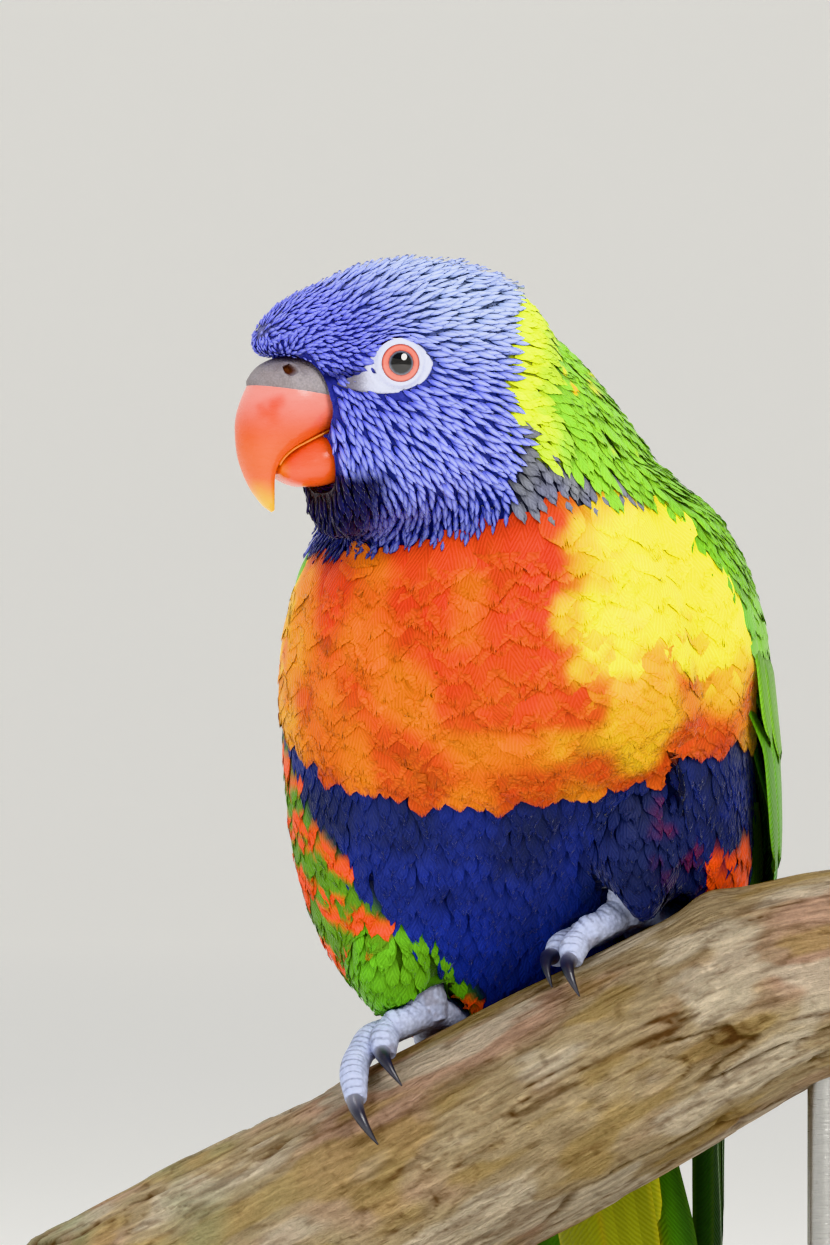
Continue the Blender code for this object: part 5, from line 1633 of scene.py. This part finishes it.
class LORIKEET_OT_eyes(bpy.types.Operator):
    """Makes the eyes and the bare skin and lids round them"""

    bl_idname = "lorikeet.eyes"
    bl_label = "Eyes"

    def execute(self, context):
        finish = eye_finish()
        bare = soft_skin_finish("bare_skin", 3200.0, 0.00008, 0.5)
        surface = surface_of(bpy.data.objects["skin"])
        for side, word in ((1, "left"), (-1, "right")):
            self.eyeball(word, eye_axes(side), finish)
            self.lids(word, eye_axes(side), surface, bare)
        return {"FINISHED"}

    def eyeball(self, word, axes, finish):
        """The ball, with the clear front of the eye a little fuller than a sphere."""
        middle, forward, _, out = axes
        shape = bmesh.new()
        bmesh.ops.create_uvsphere(shape, u_segments=64, v_segments=48, radius=EYE_RADIUS)
        for vert in shape.verts:
            if vert.co.z > 0:
                vert.co.z += 0.00022 * float(smooth(0.0026, 0.0, math.hypot(vert.co.x, vert.co.y)))
        eye = dressed(built(shape, "eyeball_" + word), finish)
        turn = Matrix((forward, out.cross(forward), out)).transposed().to_4x4()
        eye.matrix_world = Matrix.Translation(middle) @ turn
        shown(eye, "eye_glass", "eye_" + word)

    def lids(self, word, axes, surface, finish):
        """The bare skin round an eye, from a raised rim on the ball out to the feathers."""
        count, steps = 96, 16
        centre, f, u, o = (np.array(v) for v in axes)
        outline = bare_outline(count)
        inner = LID_OPENING * unit(outline)
        s = np.linspace(0, 1, steps)[:, None]
        flat = inner + (outline - inner) * s[..., None]
        reach = np.linalg.norm(flat, axis=2)
        starts = centre + (f * flat[..., :1] + u * flat[..., 1:]) * MM
        skin_level = np.zeros((steps, count))
        for at in np.ndindex(steps, count):
            hit = surface.ray_cast(Vector(starts[at] + o * 0.02), Vector(-o))[0]
            if hit is not None:
                skin_level[at] = (np.array(hit) - centre) @ o / MM
        gap = reach - LID_OPENING
        ball = np.sqrt(np.maximum((EYE_RADIUS / MM) ** 2 - np.minimum(reach, 4.4) ** 2, 0))
        rim = ball + 0.12 + 0.34 * np.exp(-(((gap - 0.45) / 0.38) ** 2))
        level = skin_level + 0.62 - 0.50 * s**3
        fold = 0.07 * np.sin(gap * 5.0 + 1.5 * np.sin(np.arange(count) * math.tau / count * 3))
        share = smooth(0.3, 1.9, gap)
        spots = starts + o * ((rim + (level - rim) * share + fold * share * (1 - s)) * MM)[..., None]
        inner_fold = spots[0] + (centre + o * 0.0005 - spots[0]) * 0.18
        rings = np.concatenate([inner_fold[None], spots, spots[-1:] - o * 0.0012])
        points = rings.reshape(-1, 3)
        out = np.repeat(np.linspace(0, 1, len(rings)), count)
        ahead = ((points - centre) @ f) / MM
        # Greyer at the fold into the eye: painted shade in the fold
        tint = blended(srgb(222, 226, 246), srgb(112, 104, 118), smooth(0.10, 0.0, out) * 0.8)
        tint = blended(tint, srgb(120, 118, 150), smooth(0.75, 1.0, out) * 0.6)
        tint = blended(tint, srgb(98, 92, 106), smooth(2.8, 7.6, ahead) * 0.95)
        tint *= (0.86 + 0.28 * clouds(points, 1.5 * MM, 3, 2))[:, None]
        lids = new_piece("lids_" + word, points, woven(len(rings), count, points, centre), finish, tint)
        solid = lids.modifiers.new("solid", "SOLIDIFY")
        solid.thickness = 0.0003
        solid.offset = -1.0
        shown(apply_all(lids), "cere_skin")


# Perch and feet


def perch_axes():
    level = Vector((-math.sin(PERCH_TURN), math.cos(PERCH_TURN), 0))
    front = Vector((math.cos(PERCH_TURN), math.sin(PERCH_TURN), 0))
    along = level * math.cos(PERCH_RISE) + Vector((0, 0, math.sin(PERCH_RISE)))
    up = Vector((0, 0, math.cos(PERCH_RISE))) - level * math.sin(PERCH_RISE)
    return (np.array(v) for v in (along, up, front))


def perch_radius(along, angle):
    taper = 1 - np.where(along > 0, 2.2, 1.2) * along
    swell = 0.016 * np.sin(58 * along + 2 * angle) + 0.012 * np.sin(3 * angle + 91 * along)
    calm = smooth(0.034, 0.052, np.abs(along))
    around = np.arctan2(np.sin(angle - KNOT[1]), np.cos(angle - KNOT[1]))
    knot = KNOT_HEIGHT * np.exp(-(((along - KNOT[0]) / 0.0045) ** 2) - (around / 0.40) ** 2)
    return PERCH_RADIUS * (taper + swell * calm) + knot


def on_perch(along, angle, lift):
    """Points over the bark, in the world: angle 0 is the top, and it grows towards the front."""
    direction, up, front = perch_axes()
    past = np.maximum(0.0, along - PERCH_BEND_FROM)
    reach = PERCH_BEND_TO - PERCH_BEND_FROM
    drop = PERCH_BEND * np.where(past < reach, past**2, reach**2 + 2 * reach * (past - reach))
    radius = perch_radius(along, angle) + lift
    middle = direction * np.asarray(along)[..., None] - up * np.asarray(PERCH_RADIUS + drop)[..., None]
    points = middle + up * (radius * np.cos(angle))[..., None] + front * (radius * np.sin(angle))[..., None]
    return moved(points, BIRD)


class LORIKEET_OT_perch(bpy.types.Operator):
    """Makes the cut length of weathered branch, with cracks along its grain"""

    bl_idname = "lorikeet.perch"
    bl_label = "Perch"

    def execute(self, context):
        count, sections = 270, 350
        low, high = PERCH_LENGTHS
        along = np.linspace(low, high, sections)[:, None] * np.ones((1, count))
        angle = round_angles(count)[None, :] * np.ones((sections, 1))
        arc = np.stack([np.cos(angle), np.sin(angle)], -1) * PERCH_RADIUS
        flat = np.concatenate([arc, along[..., None]], -1).reshape(-1, 3)
        wander = (clouds(flat, (0.012, 0.012, 0.030), 2, 21) - 0.5) * 0.010
        small = (clouds(flat, (0.003, 0.003, 0.006), 2, 23) - 0.5) * 0.0016
        bent = flat + np.stack([wander + small, small - wander, 0 * wander], 1)
        layers = clouds(bent, (0.0062, 0.0062, 0.040), 3, 31) * 8
        step = layers % 1
        edges = smooth(0.0, 0.04, step) * smooth(0.22, 0.08, step)
        terrace = np.floor(layers) + smooth(0.0, 0.18, step)
        strong = smooth(0.35, 0.65, clouds(flat, (0.012, 0.012, 0.02), 2, 55))
        fibres = clouds(bent, (0.0011, 0.0011, 0.014), 3, 41)
        cracks = smooth(0.030, 0.008, np.abs(clouds(bent, (0.0060, 0.0060, 0.055), 3, 61) - 0.5))
        cracks *= smooth(0.48, 0.60, clouds(flat, (0.02, 0.02, 0.03), 2, 65))
        relief = 0.22 * (terrace - 4.3) * (0.35 + 0.65 * strong) - 0.75 * cracks
        relief = (relief + 0.30 * (fibres - 0.5) - 0.12).reshape(sections, count) * MM
        facing = np.abs(np.angle(np.exp(1j * angle)))
        grip = smooth(0.040, 0.030, np.abs(along)) * smooth(math.radians(100), math.radians(70), facing)
        relief = np.where(relief > 0, relief * (1 - grip), relief * (1 - 0.45 * grip))
        ends = smooth(0.0, 0.0012, along - low) * smooth(0.0, 0.0012, high - along)
        rings = on_perch(along, angle, relief - (1 - ends) * 0.0004)
        points = rings.reshape(-1, 3)
        tint = self.tints(flat, np.floor(layers), edges * (0.3 + 0.7 * strong), cracks, fibres)
        maps = {"grain": np.stack([angle * PERCH_RADIUS, along], -1).reshape(-1, 2)}
        faces = woven(sections, count, points, points.mean(0))
        shown(new_piece("perch_bark", points, faces, bark_finish(), tint, maps), "bark", "perch")
        self.sawn_end("low", rings[0], -1)
        self.sawn_end("high", rings[-1], 1)
        return {"FINISHED"}

    def tints(self, flat, layer, edges, cracks, fibres):
        """Tan and pinkish layers with golden patches, dark cracks and a grey-green low end."""
        dark = srgb(104, 76, 52)
        patches = clouds(flat, (0.0060, 0.0060, 0.016), 3, 71)
        shade = hashed(np.stack([layer, layer * 0, layer * 0], 1), 7)
        big = clouds(flat, (0.014, 0.014, 0.030), 3, 61)
        tint = blended(srgb(182, 162, 128), srgb(190, 156, 132), smooth(0.42, 0.60, big))
        tint = blended(tint, srgb(176, 148, 90), smooth(0.55, 0.66, patches) * 0.60)
        tint = blended(tint, srgb(216, 202, 178), smooth(0.46, 0.36, patches) * 0.7)
        tint = tint * (0.90 + 0.20 * shade)[:, None]
        lichen = smooth(-0.030, -0.075, flat[:, 2]) * smooth(0.35, 0.6, clouds(flat, 0.012, 3, 81))
        tint = blended(tint, srgb(152, 160, 122), lichen * 0.7)
        tint = blended(tint, dark, smooth(0.70, 0.78, clouds(flat, 0.0016, 2, 83)) * 0.35)
        # Cracks, the foot of each layer's step and the grooves between fibres are darkened: partly the bark's
        # own dark lines, partly painted shade in them
        lines = cracks * 0.60 + edges * 0.50 + smooth(0.44, 0.30, fibres) * 0.45
        return blended(tint, dark, np.clip(lines, 0, 1))

    def sawn_end(self, word, rim, sign):
        """The cut face, slightly hollow, with growth rings and two checks. sign is 1 at the high end."""
        steps, count = 40, len(rim)
        middle = rim.mean(0)
        outward = sign * turned(next(perch_axes()), BIRD)
        share = np.linspace(0, 1, steps)[:, None]
        disc = middle + (rim - middle)[None] * (1 - share[..., None])
        angle = round_angles(count)[None, :]
        radius = (1 - share) * np.ones_like(angle)
        uneven = clouds(disc.reshape(-1, 3), 0.008, 2, 91).reshape(steps, count) - 0.5
        growth = 0.5 + 0.5 * np.sin((radius * 17 + 3.6 * uneven) * math.tau * 0.9)

        def check(turn, width):
            return np.exp(-((np.angle(np.exp(1j * (angle - turn))) * radius / width) ** 2))

        split = check(1.1, 0.035) * smooth(0.15, 0.4, radius)
        split = np.maximum(split, 0.7 * check(-2.3, 0.03) * smooth(0.4, 0.7, radius))
        level = 0.10 * growth + 0.03 * np.sin(disc[..., 2] / 0.0006) - 1.1 * split - 0.15
        disc = disc + outward * (level * smooth(0, 0.04, share) * MM)[..., None]
        points = disc.reshape(-1, 3)
        faces = woven(steps, count, points, middle - outward * 0.01)
        tint = blended(srgb(206, 170, 120), srgb(150, 108, 66), (growth**2).ravel() * 0.7)
        tint = blended(tint, srgb(120, 88, 58), smooth(0.90, 1.0, radius).ravel())
        # Checks darkened almost to black: painted shade in the splits
        tint = blended(tint, srgb(50, 34, 22), split.ravel() * 0.9)
        maps = {"grain": np.stack([points[:, 0], points[:, 2] * 10], -1)}
        shown(new_piece("perch_end_" + word, points, faces, bark_finish(), tint, maps), "bark")


def toe_line(word, toe, steps=40):
    """The middle line and radius of one toe, in the world."""
    table = dense(numbered([(FEET[word][0], -2.0, 0.0008), *toe[1:4]]), steps)
    radius = TOE_RADIUS * dense(numbered(TOE_KNUCKLES), steps)[:, 1]
    return on_perch(table[:, 1], np.radians(table[:, 2]), GAP + radius + table[:, 3]), radius


def claw_line(toe, steps=36):
    end, tip = toe[3:]
    t = np.linspace(0, 1, steps)
    start = end[1] + math.copysign(1.5, tip[1] - end[1])
    lift = GAP + TOE_RADIUS * 0.85 * (1 - t**2.2) + 0.0010 * np.sin(np.pi * t) + 0.0004
    degrees = start + (tip[1] - start) * t
    points = on_perch(end[0] + (tip[0] - end[0]) * t, np.radians(degrees), lift)
    return points, CLAW_RADIUS * (1 - t**1.5) + 0.00012


def shank_line(word, steps=20):
    heel = on_perch(np.array(FEET[word][0]), np.array(math.radians(-3.0)), TOE_RADIUS * 1.5)
    heel = within(heel[None], BIRD)[0]
    thigh = np.array(THIGHS[word])
    top = np.array((heel[0] * 0.6 + thigh[0] * 0.4, heel[1] * 0.6 + thigh[1] * 0.4, heel[2] + SHANK_RISE))
    t = np.linspace(-0.10, 1.0, steps)[:, None]
    radius = SHANK_RADIUS * np.interp(t[:, 0], (-0.10, 0.15, 0.55, 1.0), (0.95, 1.12, 0.98, 1.0))
    return moved(heel + (top - heel) * t, BIRD), radius


class LORIKEET_OT_feet(bpy.types.Operator):
    """Makes both feet with their scutes and small scales, and the claws"""

    bl_idname = "lorikeet.feet"
    bl_label = "Feet"

    def execute(self, context):
        skin = soft_skin_finish("foot_skin", 1500.0, 0.00012, 0.6)
        horn = horn_finish("claw_horn", 0.28)
        for word, (_, toes) in FEET.items():
            self.foot(word, toes, skin)
            for toe in toes:
                points, faces = lofted(tube_rings(*claw_line(toe), 24))
                share = np.append(np.repeat(np.linspace(0, 1, 36), 24), (0, 1))
                tint = blended(srgb(112, 112, 126), srgb(46, 46, 56), smooth(0.0, 0.45, share))
                claw = new_piece(f"{word}_{toe[0]}_claw", points, faces, horn, tint)
                shown(claw, "claw_horn", f"claw_{word}_{toe[0]}")
        return {"FINISHED"}

    def foot(self, word, toes, finish):
        """One foot, fused from tubes, with plates across its toes and pebbly skin at their sides."""
        lines = [toe_line(word, toe) for toe in toes] + [shank_line(word)]
        shape = bmesh.new()
        for points, radius in lines:
            add_form(shape, *lofted(tube_rings(points, radius - 0.0001, 20)))
        bmesh.ops.recalc_face_normals(shape, faces=shape.faces)
        foot = fused(built(shape, f"foot_{word}_scales"), FOOT_CELL, 3)
        points, normals = corners_of(foot.data), normals_of(foot.data)
        outward = np.sum(normals * unit(points - self.nearest_on_axis(points)), axis=1)
        upper = smooth(0.25, 0.65, outward)
        run = self.along_toes(points, lines) + 0.0007 * (clouds(points, 0.0025, 2, 15) - 0.5)
        plates = np.minimum(1, np.abs(np.sin(run * math.pi / PLATE_LENGTH)) * 1.8)
        pebble = clouds(points, 0.0007, 2, 13)
        relief = 0.16 * (upper * plates + (1 - upper) * pebble)
        set_corners(foot.data, points + normals * (relief * MM)[:, None])
        tint = blended(srgb(164, 174, 208), srgb(204, 212, 236), clouds(points, 0.003, 3, 17))
        # Creases between plates and pebbles painted darker: painted shade in the creases
        crease = upper * (1 - plates) + (1 - upper) * (1 - pebble) * 0.7
        tint = blended(tint, srgb(84, 84, 102), np.clip(crease, 0, 1) * 0.65)
        patches = smooth(0.60, 0.72, clouds(points, 0.0022, 3, 19))
        tint = blended(tint, srgb(116, 108, 112), patches * 0.5)
        shown(dressed(foot, finish, tint), "foot_skin", "foot_" + word)

    def along_toes(self, points, lines):
        """How far along its own toe each point is."""
        nearest, run = np.full(len(points), 9.0), np.zeros(len(points))
        for k, (spine, radius) in enumerate(lines):
            gaps = np.linalg.norm(points[:, None] - spine[None], axis=2) / radius[None]
            best, least = gaps.argmin(1), gaps.min(1)
            length = np.append(0, np.cumsum(np.linalg.norm(np.diff(spine, axis=0), axis=1)))
            ways = unit(np.gradient(spine, axis=0))
            exact = length[best] + np.sum((points - spine[best]) * ways[best], axis=1)
            run = np.where(least < nearest, exact + 0.0004 * k, run)
            nearest = np.minimum(nearest, least)
        return run

    def nearest_on_axis(self, points):
        direction, up, _ = perch_axes()
        start = -up * PERCH_RADIUS
        along = (within(points, BIRD) - start) @ direction
        return moved(start + along[:, None] * direction, BIRD)


class LORIKEET_OT_stand(bpy.types.Operator):
    """Makes the turned base and finishes the rods"""

    bl_idname = "lorikeet.stand"
    bl_label = "Stand"

    def execute(self, context):
        shape = bmesh.new()
        verts = [shape.verts.new((r, 0, z)) for r, z in self.base_profile()]
        edges = [shape.edges.new(pair) for pair in zip(verts[:-1], verts[1:])]
        spin = {"cent": (0, 0, 0), "axis": (0, 0, 1), "angle": math.tau, "steps": 160, "use_merge": True}
        bmesh.ops.spin(shape, geom=verts + edges, **spin)
        bmesh.ops.remove_doubles(shape, verts=shape.verts, dist=1e-6)
        bmesh.ops.recalc_face_normals(shape, faces=shape.faces)
        shown(dressed(built(shape, "turned_base"), wood_finish(), crease=30), "base_wood", "stand_base")
        steel = steel_finish()
        for word in ("low", "high"):
            low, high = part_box("stand_rod_" + word)
            middle, half = (low + high) / 2, (high.x - low.x) / 2
            foot = BASE_THICKNESS
            levels = (
                (low.z, half * 0.7),
                (low.z + 0.0004, half),
                (foot - 0.0002, half),
                (foot - 0.0001, half * 1.6),
                (foot + 0.0012, half * 1.6),
                (foot + 0.0016, half * 1.35),
                (foot + 0.0017, half),
                (high.z - 0.0004, half),
                (high.z, half * 0.7),
            )
            angle = round_angles(40)
            x, y = np.cos(angle), np.sin(angle)
            rings = [np.stack([middle.x + r * x, middle.y + r * y, np.full(40, z)], 1) for z, r in levels]
            rod = new_piece("rod_" + word, *lofted(rings), steel)
            rod.data.set_sharp_from_angle(angle=math.radians(30))
            shown(rod, "rod_steel", "stand_rod_" + word)
        return {"FINISHED"}

    def base_profile(self):
        """Radius and height round the turned edge of the base, from the middle of its underside."""
        radius, thick = BASE_RADIUS, BASE_THICKNESS
        inner, outer, top = radius - 0.0020, radius - 0.0018, thick - 0.0030
        small, large = 0.0008, 0.0018
        low_turn, high_turn = np.linspace(0.3, 1.57, 5), np.linspace(0.2, 1.57, 8)
        lower = [(inner + small * math.sin(a), small - small * math.cos(a)) for a in low_turn]
        upper = [(outer + large * math.cos(a), top + large * math.sin(a)) for a in high_turn]
        return [
            (0.0, 0.0),
            (radius - 0.0020, 0.0),
            *lower,
            (radius - 0.0012, 0.0030),
            (radius, 0.0042),
            (radius, thick - 0.0030),
            *upper,
            (radius - 0.0026, thick - 0.0012),
            (radius - 0.0034, thick - 0.0002),
            (radius - 0.0048, thick),
            (0.0, thick),
        ]


class LORIKEET_OT_stage(bpy.types.Operator):
    """Makes the pale floor and backdrop, the soft lights and the camera"""

    bl_idname = "lorikeet.stage"
    bl_label = "Stage"

    def execute(self, context):
        sizes = context.scene.lorikeet_stage
        scene = context.scene
        radius, bend, count = STAGE_RADIUS, STAGE_BEND, 96
        inner = radius - bend
        curve = [(inner + bend * math.sin(a), bend - bend * math.cos(a)) for a in np.linspace(0.1, 1.57, 12)]
        profile = [(0.0001, 0.0), (0.5, 0.0), (inner, 0.0), *curve, (radius, STAGE_HEIGHT)]
        angle = round_angles(count)
        rings = [np.stack([r * np.cos(angle), r * np.sin(angle), np.full(count, z)], 1) for r, z in profile]
        points = np.vstack(rings)
        faces = woven(len(profile), count, points, np.array((0.0, 0.0, -9.0)))
        paper = new_piece("stage_paper", points, faces, stage_finish(tuple(sizes.paper)))
        for name, place, size, power, colour in (
            ("key", (0.75, -1.25, 1.15), 0.9, sizes.key_power, (1.0, 0.98, 0.95)),
            ("fill", (-1.2, -1.1, 0.65), 1.2, sizes.fill_power, (0.95, 0.97, 1.0)),
            ("top", (-0.1, 0.2, 1.5), 1.0, sizes.top_power, (1.0, 1.0, 1.0)),
        ):
            data = bpy.data.lights.new(name, "AREA")
            data.shape = "DISK"
            data.size = size
            data.energy = power
            data.color = colour
            lamp = bpy.data.objects.new(name, data)
            lamp.location = place
            aim = Vector((0, 0, 0.17)) - Vector(place)
            lamp.rotation_euler = aim.to_track_quat("-Z", "Y").to_euler()
            lamp.visible_glossy = name != "fill"
            scene.collection.objects.link(lamp)
        world = bpy.data.worlds.new("studio")
        world.use_nodes = True
        sky = world.node_tree.nodes["Background"]
        sky.inputs[0].default_value = (0.95, 0.97, 1.0, 1.0)
        sky.inputs[1].default_value = sizes.sky
        scene.world = world
        scene.view_settings.view_transform = "Khronos PBR Neutral"
        data = bpy.data.cameras.new("photo_view")
        data.sensor_width = SENSOR
        data.lens = SENSOR * CAMERA_DISTANCE / FRAME_HEIGHT
        camera = bpy.data.objects.new("photo_view", data)
        camera.location = Vector(CAMERA_AIM) - Vector((0, CAMERA_DISTANCE, 0))
        camera.rotation_euler = (math.pi / 2, 0, 0)
        scene.collection.objects.link(camera)
        scene.camera = camera
        return {"FINISHED"}


# Add-on


class LorikeetCoat(bpy.types.PropertyGroup):
    head_depth: FloatProperty(
        name="Depth on the head", description="How deep the skin of the head lies in the plumage",
        default=0.0012, min=0.0, unit="LENGTH",
    )
    body_depth: FloatProperty(
        name="Depth on the body", description="How deep the skin of the body lies in the plumage",
        default=0.0016, min=0.0, unit="LENGTH",
    )
    spacing: FloatProperty(
        name="Spacing", description="Distance between small feathers, as a share of the usual one",
        default=1.0, min=0.5, max=3.0, subtype="FACTOR",
    )
    seed: IntProperty(name="Seed", description="Start of the random draws", default=4)


class LorikeetStage(bpy.types.PropertyGroup):
    paper: FloatVectorProperty(
        name="Paper", description="Colour of the floor and backdrop", subtype="COLOR",
        default=(0.74, 0.73, 0.70), min=0.0, max=1.0,
    )
    key_power: FloatProperty(name="Key", description="Power of the key light", default=26.0, unit="POWER")
    fill_power: FloatProperty(name="Fill", description="Power of the fill light", default=12.0, unit="POWER")
    top_power: FloatProperty(name="Top", description="Power of the light above", default=16.0, unit="POWER")
    sky: FloatProperty(name="Sky", description="Strength of the light from all round", default=0.35, min=0.0)


STEPS = (
    LORIKEET_OT_skin,
    LORIKEET_OT_coat,
    LORIKEET_OT_wings,
    LORIKEET_OT_tail,
    LORIKEET_OT_bill,
    LORIKEET_OT_eyes,
    LORIKEET_OT_feet,
    LORIKEET_OT_perch,
    LORIKEET_OT_stand,
    LORIKEET_OT_stage,
)


class LORIKEET_PT_panel(bpy.types.Panel):
    """Lists the pieces of the lorikeet and their sizes"""

    bl_label = "Lorikeet"
    bl_idname = "LORIKEET_PT_panel"
    bl_space_type = "VIEW_3D"
    bl_region_type = "UI"
    bl_category = "Lorikeet"

    def draw(self, context):
        for group in (context.scene.lorikeet_coat, context.scene.lorikeet_stage):
            box = self.layout.box()
            for name in group.__annotations__:
                box.prop(group, name)
        for step in STEPS:
            self.layout.operator(step.bl_idname)


def register():
    for made in (LorikeetCoat, LorikeetStage, *STEPS, LORIKEET_PT_panel):
        bpy.utils.register_class(made)
    bpy.types.Scene.lorikeet_coat = PointerProperty(type=LorikeetCoat)
    bpy.types.Scene.lorikeet_stage = PointerProperty(type=LorikeetStage)


def unregister():
    del bpy.types.Scene.lorikeet_coat
    del bpy.types.Scene.lorikeet_stage
    for made in (LORIKEET_PT_panel, *reversed(STEPS), LorikeetStage, LorikeetCoat):
        bpy.utils.unregister_class(made)


def main():
    register()
    bpy.ops.lorikeet.skin()
    bpy.ops.lorikeet.coat()
    bpy.ops.lorikeet.wings()
    bpy.ops.lorikeet.tail()
    bpy.ops.lorikeet.bill()
    bpy.ops.lorikeet.eyes()
    bpy.ops.lorikeet.feet()
    bpy.ops.lorikeet.perch()
    bpy.ops.lorikeet.stand()
    bpy.ops.lorikeet.stage()


if __name__ == "__main__":
    main()
